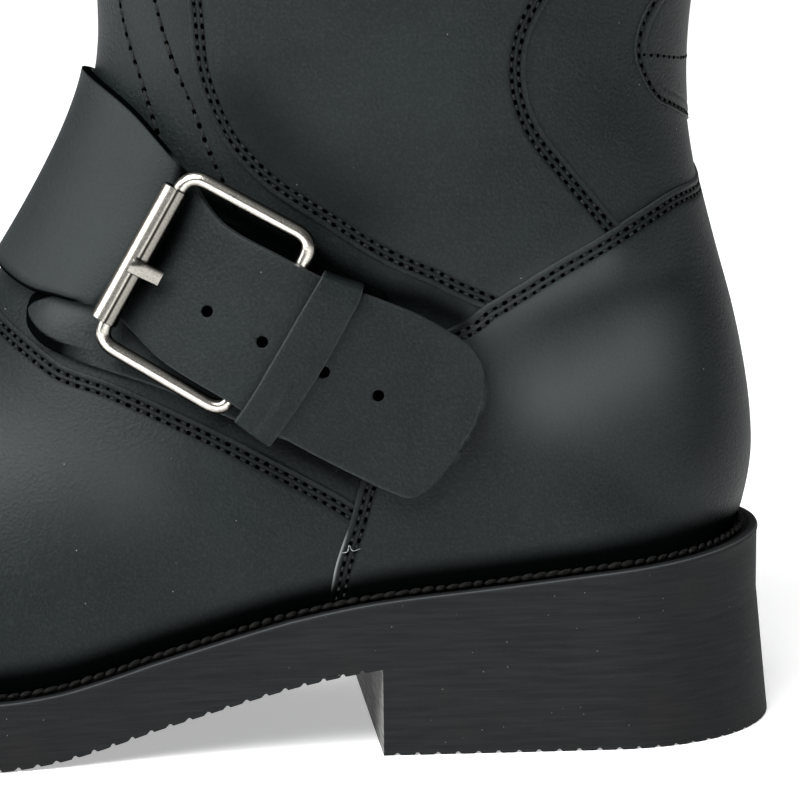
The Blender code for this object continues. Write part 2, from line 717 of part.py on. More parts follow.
hole_inset = SEAT_INSET_FORE + WALL + GAP
hole_x = stations(hole_inset)
rim_x = stations(WELT_RIM)
welt_low = OUTSOLE_THICK + GAP
ring("welt", [loop(whole, 0, sole_under(whole) + welt_low),
              loop(whole, 0, sole_top(whole) - WELT_RIM),
              loop(rim_x, WELT_RIM, sole_top(rim_x)),
              loop(hole_x, hole_inset, sole_top(hole_x)),
              loop(hole_x, hole_inset, sole_under(hole_x) + welt_low)], rubber)

block_x = stations(OUTSOLE_STEP, HEEL_BREAST_X)
lift_inset = OUTSOLE_STEP - HEEL_FLARE
lift_x = stations(lift_inset, HEEL_BREAST_X)
lift_share = TOP_LIFT_THICK / SOLE_PROFILE[0][1]
joint_inset = lift_inset + HEEL_FLARE * lift_share
joint_x = stations(joint_inset, HEEL_BREAST_X)
stack("heel_block", [level(joint_x, joint_inset, TOP_LIFT_THICK + GAP),
                     level(block_x, OUTSOLE_STEP, sole_under(block_x) - GAP)], rubber)
stack("heel_top_lift", [level(lift_x, lift_inset, 0.0),
                        level(joint_x, joint_inset, TOP_LIFT_THICK)], rubber)

insole_inset = hole_inset + GAP
insole_x = stations(insole_inset)
insole_low = sole_under(insole_x) + welt_low
stack("insole", [level(insole_x, insole_inset, insole_low),
                 level(insole_x, insole_inset, insole_low + INSOLE_THICK)], board)

# Upper
shell("upper", -WALL, 0.0, leather)

# Panels on the upper
counter_front = spline(COUNTER_FRONT)
counter_edge = np.concatenate([counter_front[:-1], spline(COUNTER_FRONT[-1:] + COUNTER_TOP)])
counter_foot = welt_line(BEHIND_X, COUNTER_FRONT[0][0])
overlay("heel_counter", np.concatenate([counter_edge, counter_foot]), COUNTER_OUT, solver="MANIFOLD")
room_edge = counter_edge + (SEAM_GAP, SEAM_GAP)
room_foot = [(BEHIND_X, BELOW_Z), (room_edge[0][0], BELOW_Z)]
counter_room = prism("counter_room", np.concatenate([room_edge, room_foot]), -BESIDE_Y, BESIDE_Y)

vamp_back = counter_front[counter_front[:, 1] < VAMP_TOP[0][1] - 1] + (SEAM_GAP, 0.0)
vamp_tip = [(AHEAD_X, VAMP_TOP[-1][1])]
vamp_foot = welt_line(AHEAD_X, COUNTER_FRONT[0][0] + SEAM_GAP)
overlay("vamp", np.concatenate([vamp_back, spline(VAMP_TOP), vamp_tip, vamp_foot]), PANEL_OUT)

quarter_edge = np.concatenate([spline(QUARTER_FRONT), spline(QUARTER_REAR)])
for side, low_y, high_y in (("lateral", 0.0, BESIDE_Y), ("medial", -BESIDE_Y, 0.0)):
    quarter = overlay("quarter_" + side, quarter_edge, PANEL_OUT, low_y, high_y)
    cut = quarter.modifiers.new("counter", "BOOLEAN")
    cut.operation = "DIFFERENCE"
    cut.object = counter_room

patch_back = [(BEHIND_X, PATCH_EDGE[-1][1]), (BEHIND_X, PATCH_EDGE[0][1])]
overlay("back_patch", np.concatenate([spline(PATCH_EDGE), patch_back]), PATCH_OUT)

# Strap, guard and keeper
strap_lines = band_lines(STRAP)
band("instep_strap", strap_lines, STRAP_THICK, leather)
band("buckle_guard", band_lines(GUARD), GUARD_THICK, leather)

line_ends = band_point(strap_lines, keeper_line(0.0) + np.array([-0.5, 0.5]), 0.0, 0.0)
half_index = KEEPER_WIDTH / 2 / np.linalg.norm(line_ends[1] - line_ends[0])
loops = []
for end, grow in ((-1, 0.0), (-1, KEEPER_THICK), (1, KEEPER_THICK), (1, 0.0)):
    reach = KEEPER_REACH + KEEPER_WRAP * grow
    across = np.linspace(-reach, reach, KEEPER_COLUMNS)
    line = keeper_line(across) + end * half_index
    over = band_point(strap_lines, line, across, STRAP_THICK + KEEPER_CLEAR + grow)
    under = band_point(strap_lines, line, across, -KEEPER_CLEAR - grow)
    loops.append(np.concatenate([over, under[::-1]]))
ring("strap_keeper", loops, leather)

# Buckle
corner_x, corner_z, corner_height = columns(BUCKLE)
frame_corners = offset_skin(*place(corner_x, corner_z, 1), corner_height)
wire_loop("buckle_frame", round_corners(frame_corners, FRAME_CORNER), WIRE, steel)

roller_mid = (frame_corners[0] + frame_corners[3]) / 2
roller_axis = frame_corners[3] - frame_corners[0]
roller_axis = roller_axis / np.linalg.norm(roller_axis)
roller_ends = [roller_mid + roller_axis * ROLLER_LENGTH * share for share in (-0.5, 0.5)]
bore = WIRE / 2 + GAP
roller_loops = [circle(roller_ends[end], roller_axis, radius)
                for end, radius in ((0, bore), (0, ROLLER / 2), (1, ROLLER / 2), (1, bore))]
ring("buckle_roller", roller_loops, steel)

frame_mid = frame_corners.mean(axis=0)
frame_up = np.cross(roller_axis, frame_mid - roller_mid)
frame_up /= np.linalg.norm(frame_up)
if frame_up[1] < 0:
    frame_up = -frame_up
frame_back = np.cross(roller_axis, frame_up)
if frame_back @ (frame_mid - roller_mid) < 0:
    frame_back = -frame_back
inner = ROLLER / 2 + GAP
turn = np.radians(PRONG_TURNS)[:, None]
outward = np.cos(turn) * frame_up + np.sin(turn) * frame_back
prong_root = roller_mid + PRONG_SHIFT * roller_axis
prong_end = band_point(strap_lines, *PRONG_END, STRAP_THICK + PRONG_CLEAR)
under = np.concatenate([prong_root + inner * outward, [prong_end]])
over = np.concatenate([prong_root + (inner + PRONG_THICK) * outward, [prong_end + PRONG_THICK * frame_back]])
beside = PRONG_WIDTH / 2 * roller_axis
sheet_solid("buckle_prong", np.stack([under - beside, under + beside], axis=1),
            np.stack([over - beside, over + beside], axis=1), steel)
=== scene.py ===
"""Looks of the biker boot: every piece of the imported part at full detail, with its finish.

Sizes are millimetres in the boot's own frame: x runs from the back of the heel to the toe, y to
the outer side of the foot and z up from the floor.  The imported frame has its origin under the
heel's middle, HEEL_REST_X further along x.
"""
import math

import bmesh
import bpy
import numpy as np
from mathutils import Matrix, Vector
from mathutils.kdtree import KDTree


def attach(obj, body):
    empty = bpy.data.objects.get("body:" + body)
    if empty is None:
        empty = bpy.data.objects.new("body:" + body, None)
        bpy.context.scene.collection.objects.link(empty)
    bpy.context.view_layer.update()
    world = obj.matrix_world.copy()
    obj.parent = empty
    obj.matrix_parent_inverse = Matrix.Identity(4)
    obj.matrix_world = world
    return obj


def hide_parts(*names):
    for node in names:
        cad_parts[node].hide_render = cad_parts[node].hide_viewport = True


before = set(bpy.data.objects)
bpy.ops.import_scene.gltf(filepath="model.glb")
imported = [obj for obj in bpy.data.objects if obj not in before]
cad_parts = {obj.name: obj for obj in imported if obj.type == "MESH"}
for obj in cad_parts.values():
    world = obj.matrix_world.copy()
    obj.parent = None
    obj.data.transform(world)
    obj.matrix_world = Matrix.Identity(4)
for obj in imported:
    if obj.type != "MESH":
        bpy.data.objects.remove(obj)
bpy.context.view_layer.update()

# Outsole
# One moulded rubber piece from heel to toe, sanded flush with the welt round its side.
# Its lower rim has small moulded notches; the underside behind them is plain.
MM = 0.001
HEEL_REST_X = 40.0
HEEL_BREAST_X = 84.5
HEEL_ROUND_X = 37.0
HEEL_ROUND_LENGTH = 35.0
TOE_ROUND_X = 235.0
TOE_ROUND_LENGTH = 70.0
TOE_FULLNESS = 2.15
OUTSOLE_THICK = 11.0
OUTSOLE_STEP = 0.2
NOTCH_PITCH = 4.0
NOTCH_WIDTH = 0.9
NOTCH_HEIGHT = 0.6
NOTCH_REACH = 9.0
NOTCH_EASE = 0.4
NOTCH_START_X = HEEL_BREAST_X + 2
WELD_DISTANCE = 0.002
SOLE_SHARP = 40
SOLE_WIDTHS = (
    # x, half width
    (37, 37.0), (60, 37.3), (82, 37.0), (105, 35.8), (130, 36.8),
    (160, 42.2), (190, 48.8), (215, 52.2), (235, 53.0),
)
SOLE_CENTRE = (
    # x, y of the sole's centre line
    (0, 0.0), (37, 0.0), (82, 0.8), (105, 2.2), (130, 4.2), (160, 5.2),
    (190, 4.2), (215, 1.5), (235, -1.0), (270, -5.4), (305, -10.0),
)
SOLE_PROFILE = (
    # x, z of the outsole's underside
    (0, 26.5), (32, 23.2), (62, 19.9), (84.5, 17.5), (101, 14.4), (111, 11.9), (121, 9.2), (131, 6.5),
    (142, 3.4), (152, 1.2), (162, 0.2), (170, 0.0), (232, 0.0), (250, 1.0), (275, 4.6), (305, 12.0),
)
OUTSOLE_LINES = (
    # inset, share of the notches' height, least height above the underside
    (NOTCH_REACH, 0.0, 0.0), (NOTCH_REACH - 0.6, 1.0, 0.0), (OUTSOLE_STEP + 0.15, 1.0, 0.0),
    (OUTSOLE_STEP, 1.1, 0.12), (OUTSOLE_STEP, 0.0, 2.0), (OUTSOLE_STEP, 0.0, 5.5), (OUTSOLE_STEP, 0.0, 10.2),
    (OUTSOLE_STEP, 0.0, OUTSOLE_THICK + 0.2), (12.0, 0.0, OUTSOLE_THICK),
)


def columns(table):
    """The table's columns as arrays."""
    return np.array(table, float).T


def hermite(keys, values, slopes, at):
    """Cubic pieces between the keys."""
    at = np.clip(at, keys[0], keys[-1])
    piece = np.clip(np.searchsorted(keys, at) - 1, 0, len(keys) - 2)
    step = keys[piece + 1] - keys[piece]
    f = (at - keys[piece]) / step
    return (values[piece] * (1 + 2 * f) * (1 - f) ** 2
            + values[piece + 1] * f * f * (3 - 2 * f)
            + step * slopes[piece] * f * (1 - f) ** 2
            - step * slopes[piece + 1] * f * f * (1 - f))


def flowing(keys, values, at):
    """Smooth curve through the values at the keys, with averaged slopes."""
    return hermite(keys, values, np.gradient(values, keys), at)


def steady(keys, values, at):
    """Smooth curve through the values at the keys that never overshoots them."""
    rise = np.diff(values) / np.diff(keys)
    slopes = np.zeros(len(keys))
    same_way = rise[:-1] * rise[1:] > 0
    before = rise[:-1][same_way]
    after = rise[1:][same_way]
    slopes[1:-1][same_way] = 2 * before * after / (before + after)
    slopes[0] = rise[0]
    slopes[-1] = rise[-1]
    return hermite(keys, values, slopes, at)


def sole_under(x):
    """Height of the outsole's underside."""
    return steady(*columns(SOLE_PROFILE), x)


def sole_centre(x):
    """The sole's centre line, which bends inwards at the toe."""
    return flowing(*columns(SOLE_CENTRE), x)


def sole_half(x, inset):
    """Half width of the sole's outline, moved in by the inset."""
    x = np.asarray(x, float)
    half = flowing(*columns(SOLE_WIDTHS), x) - inset
    back = np.clip((HEEL_ROUND_X - x) / (HEEL_ROUND_LENGTH - inset), 0, 1)
    front = np.clip((x - TOE_ROUND_X) / (TOE_ROUND_LENGTH - inset), 0, 1)
    half = half * np.sqrt(1 - back ** 2)
    return half * (1 - front ** TOE_FULLNESS) ** (1 / TOE_FULLNESS)


def stations(inset, heel=90, middle=500, toe=220):
    """Places along the sole, evenly spaced along its edge."""
    turn = np.linspace(0, math.pi / 2, heel)
    back = HEEL_ROUND_X - (HEEL_ROUND_LENGTH - inset) * np.cos(turn)
    side = np.linspace(HEEL_ROUND_X, TOE_ROUND_X, middle)[1:-1]
    turn = np.linspace(0, math.pi / 2, toe)
    front = TOE_ROUND_X + (TOE_ROUND_LENGTH - inset) * np.sin(turn)
    return np.concatenate([back, side, front])


def heel_stations(inset, heel=150, side=120):
    """Places along the heel, from its back to its breast."""
    turn = np.linspace(0, math.pi / 2, heel)
    back = HEEL_ROUND_X - (HEEL_ROUND_LENGTH - inset) * np.cos(turn)
    return np.concatenate([back, np.linspace(HEEL_ROUND_X, HEEL_BREAST_X, side)[1:]])


def edge_line(x, inset, z):
    """A level line of the sole: a row of two points, outer and inner side, for each x."""
    half = sole_half(x, inset)
    centre = sole_centre(x)
    height = np.asarray(z, float)
    if height.ndim < 2:
        height = np.broadcast_to(height, x.shape)[:, None]
    pair = np.broadcast_to(height, (len(x), 2))
    y = np.stack([centre + half, centre - half], axis=1)
    return np.stack([np.stack([x, x], axis=1), y, pair], axis=2)


def notch(x, inset, pitch, width):
    """How much of a notch is at each place along the edge, from 0 to 1, for both sides."""
    line = edge_line(x, inset, 0.0)
    steps = np.linalg.norm(np.diff(line, axis=0), axis=2)
    along = np.concatenate([np.zeros((1, 2)), np.cumsum(steps, axis=0)])
    away = np.abs((along + pitch / 2) % pitch - pitch / 2)
    return np.clip((width / 2 + NOTCH_EASE / 2 - away) / NOTCH_EASE, 0, 1)


def in_frame(points):
    """Points in millimetres of the boot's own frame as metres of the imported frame."""
    return (points - (HEEL_REST_X, 0, 0)) * MM


def placed(name, data):
    """New object in the scene."""
    item = bpy.data.objects.new(name, data)
    bpy.context.scene.collection.objects.link(item)
    return item


def piece(name, points, faces, materials, nodes, slot, sharp=None, attributes=None, indices=None):
    """Mesh object from points in millimetres that stands for the named nodes and rides on the boot."""
    mesh = bpy.data.meshes.new(name)
    mesh.from_pydata(in_frame(points).tolist(), [], faces)
    for key, values in (attributes or {}).items():
        layer = mesh.attributes.new(key, "FLOAT", "POINT")
        layer.data.foreach_set("value", np.asarray(values, np.float32).ravel())
    for material in materials:
        mesh.materials.append(material)
    if indices is not None:
        mesh.polygons.foreach_set("material_index", np.asarray(indices, np.int32))
    shape = bmesh.new()
    shape.from_mesh(mesh)
    bmesh.ops.remove_doubles(shape, verts=shape.verts, dist=WELD_DISTANCE * MM)
    bmesh.ops.recalc_face_normals(shape, faces=shape.faces)
    shape.to_mesh(mesh)
    shape.free()
    mesh.shade_smooth()
    if sharp:
        mesh.set_sharp_from_angle(angle=math.radians(sharp))
    item = placed(name, mesh)
    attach(item, "root")
    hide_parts(*nodes)
    return item


def sole_piece(name, lines, material, nodes, front=None, marks=None):
    """Closed solid through edge lines, from the middle of its underside round to its top.

    A front material closes the flat face where the lines end; marks give an attribute's value line by line.
    """
    count = len(lines[0])
    points = np.concatenate([line.reshape(-1, 3) for line in lines])
    last = len(lines) - 1
    faces = []
    for tier in range(len(lines)):
        base = tier * count * 2
        for row in range(count - 1):
            a = base + row * 2
            if tier in (0, last):
                faces.append((a, a + 2, a + 3, a + 1))
            if tier < last:
                b = a + count * 2
                faces.append((a, a + 2, b + 2, b))
                faces.append((a + 1, a + 3, b + 3, b + 1))
        if front and tier < last:
            a = base + (count - 1) * 2
            b = a + count * 2
            faces.append((a, a + 1, b + 1, b))
    reach = points[:, 0].max() - 1e-6
    flat = [int(bool(front) and points[list(face), 0].min() > reach) for face in faces]
    tones = {key: np.repeat(values, count * 2) for key, values in (marks or {}).items()}
    return piece(name, points, faces, [material, front or material], nodes, "sole_rubber", sharp=SOLE_SHARP,
                 attributes=tones, indices=flat)


def colour(code):
    """Linear colour from an sRGB hex code."""
    parts = np.array([int(code[i:i + 2], 16) for i in (1, 3, 5)]) / 255
    linear = np.where(parts <= 0.04045, parts / 12.92, ((parts + 0.055) / 1.055) ** 2.4)
    return (*linear, 1.0)


def feed(tree, item, inputs):
    """Give a node's inputs their values, or the sockets that feed them."""
    for key, value in inputs.items():
        if isinstance(value, bpy.types.NodeSocket):
            tree.links.new(value, item.inputs[key])
        else:
            item.inputs[key].default_value = value


def add(tree, kind, inputs=None, **settings):
    """New node with its settings; an input takes a value or the socket that feeds it."""
    item = tree.nodes.new(kind)
    for key, value in settings.items():
        setattr(item, key, value)
    feed(tree, item, inputs or {})
    return item


def surface(name):
    """New material, with its node tree, its shader and the object's own coordinates."""
    material = bpy.data.materials.new(name)
    material.use_nodes = True
    tree = material.node_tree
    shader = tree.nodes["Principled BSDF"]
    place = add(tree, "ShaderNodeTexCoord").outputs["Object"]
    return material, tree, shader, place


def per_metre(size_mm):
    """Pattern scale whose features have the given size."""
    return 1 / (size_mm * MM)


def sanded_rubber(name, dark, light, streak_bump):
    """Moulded rubber sanded along the edge: matt, with fine level streaks, faint dust and specks."""
    material, tree, shader, place = surface(name)
    drawn_out = add(tree, "ShaderNodeMapping", {"Vector": place, "Scale": (0.05, 0.05, 1.0)})
    streaks = add(tree, "ShaderNodeTexNoise", {"Vector": drawn_out.outputs[0], "Scale": per_metre(0.55),
                                              "Detail": 3.0, "Roughness": 0.6})
    clouds = add(tree, "ShaderNodeTexNoise", {"Vector": place, "Scale": per_metre(14), "Detail": 3.0})
    grit = add(tree, "ShaderNodeTexNoise", {"Vector": place, "Scale": per_metre(0.5), "Detail": 2.0})
    specks = add(tree, "ShaderNodeTexVoronoi", {"Vector": place, "Scale": per_metre(3.2)})
    shade = add(tree, "ShaderNodeMapRange", {"Value": streaks.outputs[0], "From Min": 0.35, "From Max": 0.7})
    dust = add(tree, "ShaderNodeMapRange", {"Value": clouds.outputs[0], "From Min": 0.52, "From Max": 0.78,
                                            "To Max": 0.32})
    spot = add(tree, "ShaderNodeMapRange", {"Value": specks.outputs["Distance"], "From Min": 0.05,
                                            "From Max": 0.025, "To Max": 0.5})
    painted_highlight = add(tree, "ShaderNodeAttribute", attribute_name="scuff_and_painted_highlight")
    shade_and_black_edge = add(tree, "ShaderNodeAttribute", attribute_name="shade_and_black_edge")
    # Layers include a painted highlight (#666a6a) along the welt's bevel and painted shade (#020202) in its
    # channel beside the upper.
    tone = colour(dark)
    for share, code in ((shade.outputs[0], light), (dust.outputs[0], "#25211e"), (spot.outputs[0], "#8b8a86"),
                        (painted_highlight.outputs["Fac"], "#666a6a"), (shade_and_black_edge.outputs["Fac"], "#020202")):
        tone = add(tree, "ShaderNodeMix", {0: share, 6: tone, 7: colour(code)}, data_type="RGBA").outputs[2]
    rough = add(tree, "ShaderNodeMapRange", {"Value": grit.outputs[0], "To Min": 0.58, "To Max": 0.85})
    mixed = add(tree, "ShaderNodeMath", {0: grit.outputs[0], 1: 0.5, 2: streaks.outputs[0]},
                operation="MULTIPLY_ADD")
    bump = add(tree, "ShaderNodeBump", {"Height": mixed.outputs[0], "Strength": streak_bump,
                                        "Distance": 0.1 * MM})
    feed(tree, shader, {"Base Color": tone, "Roughness": rough.outputs[0], "Specular IOR Level": 0.12,
                        "Normal": bump.outputs[0]})
    return material


outsole_rubber = sanded_rubber("sanded outsole rubber", "#17191a", "#202223", 0.6)

outsole_x = stations(OUTSOLE_STEP)
notched = notch(outsole_x, OUTSOLE_STEP, NOTCH_PITCH, NOTCH_WIDTH)
notched = notched * (outsole_x > NOTCH_START_X)[:, None] * NOTCH_HEIGHT


def outsole_line(inset, low, top):
    """Line of the outsole: low of the notches' height, and at least the top above the underside."""
    x = stations(inset)
    return edge_line(x, inset, sole_under(x)[:, None] + np.maximum(notched * low, top))


sole_piece("outsole_moulded", [outsole_line(*line) for line in OUTSOLE_LINES], outsole_rubber, ["outsole"])

# Heel
# Two rubber layers cemented under the outsole and sanded to one slope, flared towards the floor.
# The wear layer has a notched lower rim like the outsole's; the breast is left rougher and greyer,
# its pale grey partly the bare rubber's own and partly painted light bounced from the floor.
HEEL_FLARE = 2.6
TOP_LIFT_THICK = 10.0
HEEL_OVERLAP = 0.3
HEEL_SEAM = 0.01
HEEL_INSIDE = 8.0
HEEL_NOTCH_PITCH = 4.2
HEEL_NOTCH_WIDTH = 0.8
HEEL_NOTCH_HEIGHT = 0.6
FLUSH_INSET = OUTSOLE_STEP - 0.02
LIFT_INSET = OUTSOLE_STEP - HEEL_FLARE
JOINT_INSET = LIFT_INSET + HEEL_FLARE * TOP_LIFT_THICK / SOLE_PROFILE[0][1]
LIFT_LINES = (
    # inset, share of the notches' height, least height above the floor
    (HEEL_INSIDE, 0.0, 0.0), (LIFT_INSET + 2.2, 0.0, 0.0), (LIFT_INSET + 1.9, 1.0, 0.0),
    (LIFT_INSET + 0.2, 1.0, 0.0), (LIFT_INSET, 1.1, 0.2), (LIFT_INSET + 0.15, 0.0, 1.8),
    (JOINT_INSET, 0.0, TOP_LIFT_THICK), (HEEL_INSIDE, 0.0, TOP_LIFT_THICK),
)
BLOCK_LINES = (
    # inset, share of the way from the wear layer to the outsole
    (HEEL_INSIDE, 0.0), (JOINT_INSET, 0.0), (FLUSH_INSET, 1.0), (HEEL_INSIDE, 1.0),
)

breast_rubber = sanded_rubber("rough heel breast", "#5f605f", "#8e8f8d", 1.0)
heel_notched = notch(heel_stations(LIFT_INSET), LIFT_INSET, HEEL_NOTCH_PITCH, HEEL_NOTCH_WIDTH)
heel_notched = heel_notched * HEEL_NOTCH_HEIGHT


def lift_line(inset, low, top):
    """Line of the wear layer: low of the notches' height, and at least the top above the floor."""
    return edge_line(heel_stations(inset), inset, np.maximum(heel_notched * low, top))


def block_line(inset, share):
    """Line of the heel block, from the wear layer (0) to the outsole (1)."""
    x = heel_stations(inset)
    low = TOP_LIFT_THICK + HEEL_SEAM
    return edge_line(x, inset, low + (sole_under(x) + HEEL_OVERLAP - low) * share)


sole_piece("heel_wear_layer", [lift_line(*line) for line in LIFT_LINES], outsole_rubber, ["heel_top_lift"],
           breast_rubber)
sole_piece("heel_stack", [block_line(*line) for line in BLOCK_LINES], outsole_rubber, ["heel_block"],
           breast_rubber)

# Welt
# A leather-fibre strip round the whole boot, stitched to the upper and the outsole.
# Its outer rim is bevelled and burnished, and the seam lies in a channel beside the upper.
# A painted highlight runs along the bevel, and painted shade darkens the channel.
WELT_THICK = 3.1
WELT_GAP = 0.3
WELT_RIM = 0.8
SEAT_INSET_HEEL = 5.4
SEAT_INSET_FORE = 6.5
WELT_CHANNEL = 1.9
WELT_CHANNEL_DEEP = 0.4
WELT_OVERLAP = 0.5
WELT_INSIDE = 9.0
WALL = 2.2
WELT_LINES = (
    # inset, distance below the top, share of painted highlight, share of painted shade
    (WELT_INSIDE, WELT_THICK, 0, 0), (FLUSH_INSET, WELT_THICK + WELT_OVERLAP, 0, 0), (FLUSH_INSET, 1.6, 0, 0),
    (0.0, 1.1, 0, 0), (0.0, WELT_RIM, 0, 0), (0.08, 0.5, 0.05, 0), (0.2, 0.3, 0.4, 0),
    (0.38, 0.17, 0.05, 0.1), (WELT_RIM, 0.0, 0, 0.3), (WELT_CHANNEL - 0.2, 0.0, 0, 0.4),
    (WELT_CHANNEL, 0.15, 0, 0.8),
    (WELT_CHANNEL + 0.3, WELT_CHANNEL_DEEP, 0, 1), (WELT_CHANNEL + 2.0, WELT_CHANNEL_DEEP, 0, 1),
    (WELT_INSIDE, WELT_CHANNEL_DEEP, 0, 1),
)


def sole_top(x):
    """Height of the welt's top, where the upper stands."""
    return sole_under(x) + OUTSOLE_THICK + WELT_GAP + WELT_THICK


def seat_inset(x):
    """How far the upper stands in from the sole's edge."""
    share = np.clip((x - HEEL_BREAST_X) / (TOE_ROUND_X - HEEL_BREAST_X), 0, 1)
    return SEAT_INSET_HEEL + (SEAT_INSET_FORE - SEAT_INSET_HEEL) * share


def welt_line(inset, below):
    """Line of the welt at an inset and a distance below its top."""
    x = stations(inset)
    return edge_line(x, inset, sole_top(x) - below)


welt_rubber = sanded_rubber("burnished welt", "#17191a", "#1f2122", 0.4)
painted_highlight, welt_channel_shade = columns(WELT_LINES)[2:]
sole_piece("welt_strip", [welt_line(*line[:2]) for line in WELT_LINES], welt_rubber, ["welt"],
           marks={"scuff_and_painted_highlight": painted_highlight, "shade_and_black_edge": welt_channel_shade})

# Insole
# A cut leather board that the foot stands on, laid inside the upper, with its upper edge bevelled.
# It shows only through the collar.
INSOLE_THICK = 3.6
INSOLE_CLEAR = 0.6
INSOLE_EDGE = 0.6
INSOLE_INSET = SEAT_INSET_FORE + WALL + INSOLE_CLEAR
INSOLE_INSIDE = INSOLE_INSET + 6
INSOLE_LINES = (
    # inset, height above the outsole
    (INSOLE_INSIDE, 0.0), (INSOLE_INSET, 0.0), (INSOLE_INSET, INSOLE_THICK - INSOLE_EDGE),
    (INSOLE_INSET + INSOLE_EDGE, INSOLE_THICK), (INSOLE_INSIDE, INSOLE_THICK),
)


def insole_line(inset, height):
    """Line of the insole at a height above the outsole."""
    x = stations(inset)
    return edge_line(x, inset, sole_under(x) + OUTSOLE_THICK + WELT_GAP + height)


def grained_leather(name, dark, light, grain_bump=1.0):
    """Waxed full-grain leather: matt to satin, with fine pores and a cloudy tone.

    Cut edges and scuffs are paler; painted highlights lighten its bulges, and painted shade turns it black
    in the seams, beside the welt and in the hollows, and the same black colours the guard's cut rim.
    """
    material, tree, shader, place = surface(name)
    pores = add(tree, "ShaderNodeTexVoronoi", {"Vector": place, "Scale": per_metre(0.75)})
    fine = add(tree, "ShaderNodeTexNoise", {"Vector": place, "Scale": per_metre(0.6), "Detail": 3.0,
                                            "Roughness": 0.6})
    clouds = add(tree, "ShaderNodeTexNoise", {"Vector": place, "Scale": per_metre(22), "Detail": 4.0,
                                              "Roughness": 0.55})
    specks = add(tree, "ShaderNodeTexVoronoi", {"Vector": place, "Scale": per_metre(5.5)})
    cloudy = add(tree, "ShaderNodeMapRange", {"Value": clouds.outputs[0], "From Min": 0.3, "From Max": 0.7})
    mottle = add(tree, "ShaderNodeMapRange", {"Value": fine.outputs[0], "From Min": 0.45, "From Max": 0.75,
                                              "To Max": 0.3})
    spot = add(tree, "ShaderNodeMapRange", {"Value": specks.outputs["Distance"], "From Min": 0.035,
                                            "From Max": 0.02, "To Max": 0.55})
    painted_sheen, cut, scuff_and_painted_highlight, shade_and_black_edge = (add(tree, "ShaderNodeAttribute", attribute_name=mark).outputs["Fac"]
                               for mark in ("painted_sheen", "cut_edge", "scuff_and_painted_highlight", "shade_and_black_edge"))
    raw = add(tree, "ShaderNodeMath", {0: cut, 1: fine.outputs[0]}, operation="MULTIPLY")
    tone = colour(dark)
    # Layers include painted highlights (#464a4b) and painted shade (#030404), which also takes away the
    # shine.
    for share, code in ((cloudy.outputs[0], light), (painted_sheen, "#464a4b"), (mottle.outputs[0], "#343838"),
                        (raw.outputs[0], "#4d5050"), (spot.outputs[0], "#9a9a96"), (scuff_and_painted_highlight, "#b4b8b8"),
                        (shade_and_black_edge, "#030404")):
        tone = add(tree, "ShaderNodeMix", {0: share, 6: tone, 7: colour(code)}, data_type="RGBA").outputs[2]
    gloss = add(tree, "ShaderNodeMapRange", {"Value": clouds.outputs[0], "To Min": 0.42, "To Max": 0.58})
    shine = add(tree, "ShaderNodeMapRange", {"Value": shade_and_black_edge, "To Min": 0.14, "To Max": 0.0})
    grain = add(tree, "ShaderNodeMath", {0: pores.outputs["Distance"], 1: 0.6, 2: fine.outputs[0]},
                operation="MULTIPLY_ADD")
    bump = add(tree, "ShaderNodeBump", {"Height": grain.outputs[0], "Strength": grain_bump,
                                        "Distance": 0.12 * MM})
    feed(tree, shader, {"Base Color": tone, "Roughness": gloss.outputs[0],
                        "Specular IOR Level": shine.outputs[0], "Normal": bump.outputs[0]})
    return material


insole_leather = grained_leather("undyed insole leather", "#5d4a38", "#7a634c", 0.3)
insole = sole_piece("insole_board", [insole_line(*line) for line in INSOLE_LINES], insole_leather, ["insole"])

# Upper
# Front and back panel with their lining, one wall of waxed leather from the toe to the collar.
# It is lasted over the foot's form, so everything sewn on it follows the same skin.
FOOT_SECTIONS = (
    # x on the sole, ridge x, ridge z, bulge beyond the seat, fullness above, fullness below, ridge y
    (298.5, 298.5, 24.0, 0.0, 2.20, 2.2, -9.0),
    (296.6, 297.0, 32.5, 1.0, 2.25, 2.2, -9.0),
    (291.5, 292.5, 40.0, 1.6, 2.30, 2.2, -8.8),
    (283.0, 285.0, 46.5, 2.0, 2.35, 2.2, -8.4),
    (270.0, 273.0, 51.0, 2.2, 2.35, 2.2, -7.8),
    (252.0, 256.0, 54.8, 2.2, 2.30, 2.2, -7.0),
    (229.0, 236.0, 57.8, 2.0, 2.20, 2.2, -6.2),
    (205.0, 217.0, 61.2, 2.0, 2.10, 2.2, -5.4),
    (180.0, 200.0, 65.8, 2.2, 2.05, 2.2, -4.6),
    (154.0, 185.0, 72.2, 3.4, 2.00, 2.2, -3.8),
    (127.0, 173.0, 81.0, 6.4, 2.00, 2.2, -3.0),
    (100.0, 164.1, 91.3, 7.2, 2.05, 2.2, -2.2),
    (76.0, 157.2, 102.2, 4.6, 2.10, 2.3, -1.5),
    (54.0, 151.4, 112.5, 3.8, 2.15, 2.4, -0.9),
    (35.0, 146.6, 122.0, 4.0, 2.20, 2.5, -0.5),
    (20.0, 143.3, 130.0, 9.7, 2.20, 2.6, -0.2),
    (10.5, 141.2, 136.3, 21.7, 2.20, 2.65, -0.1),
)
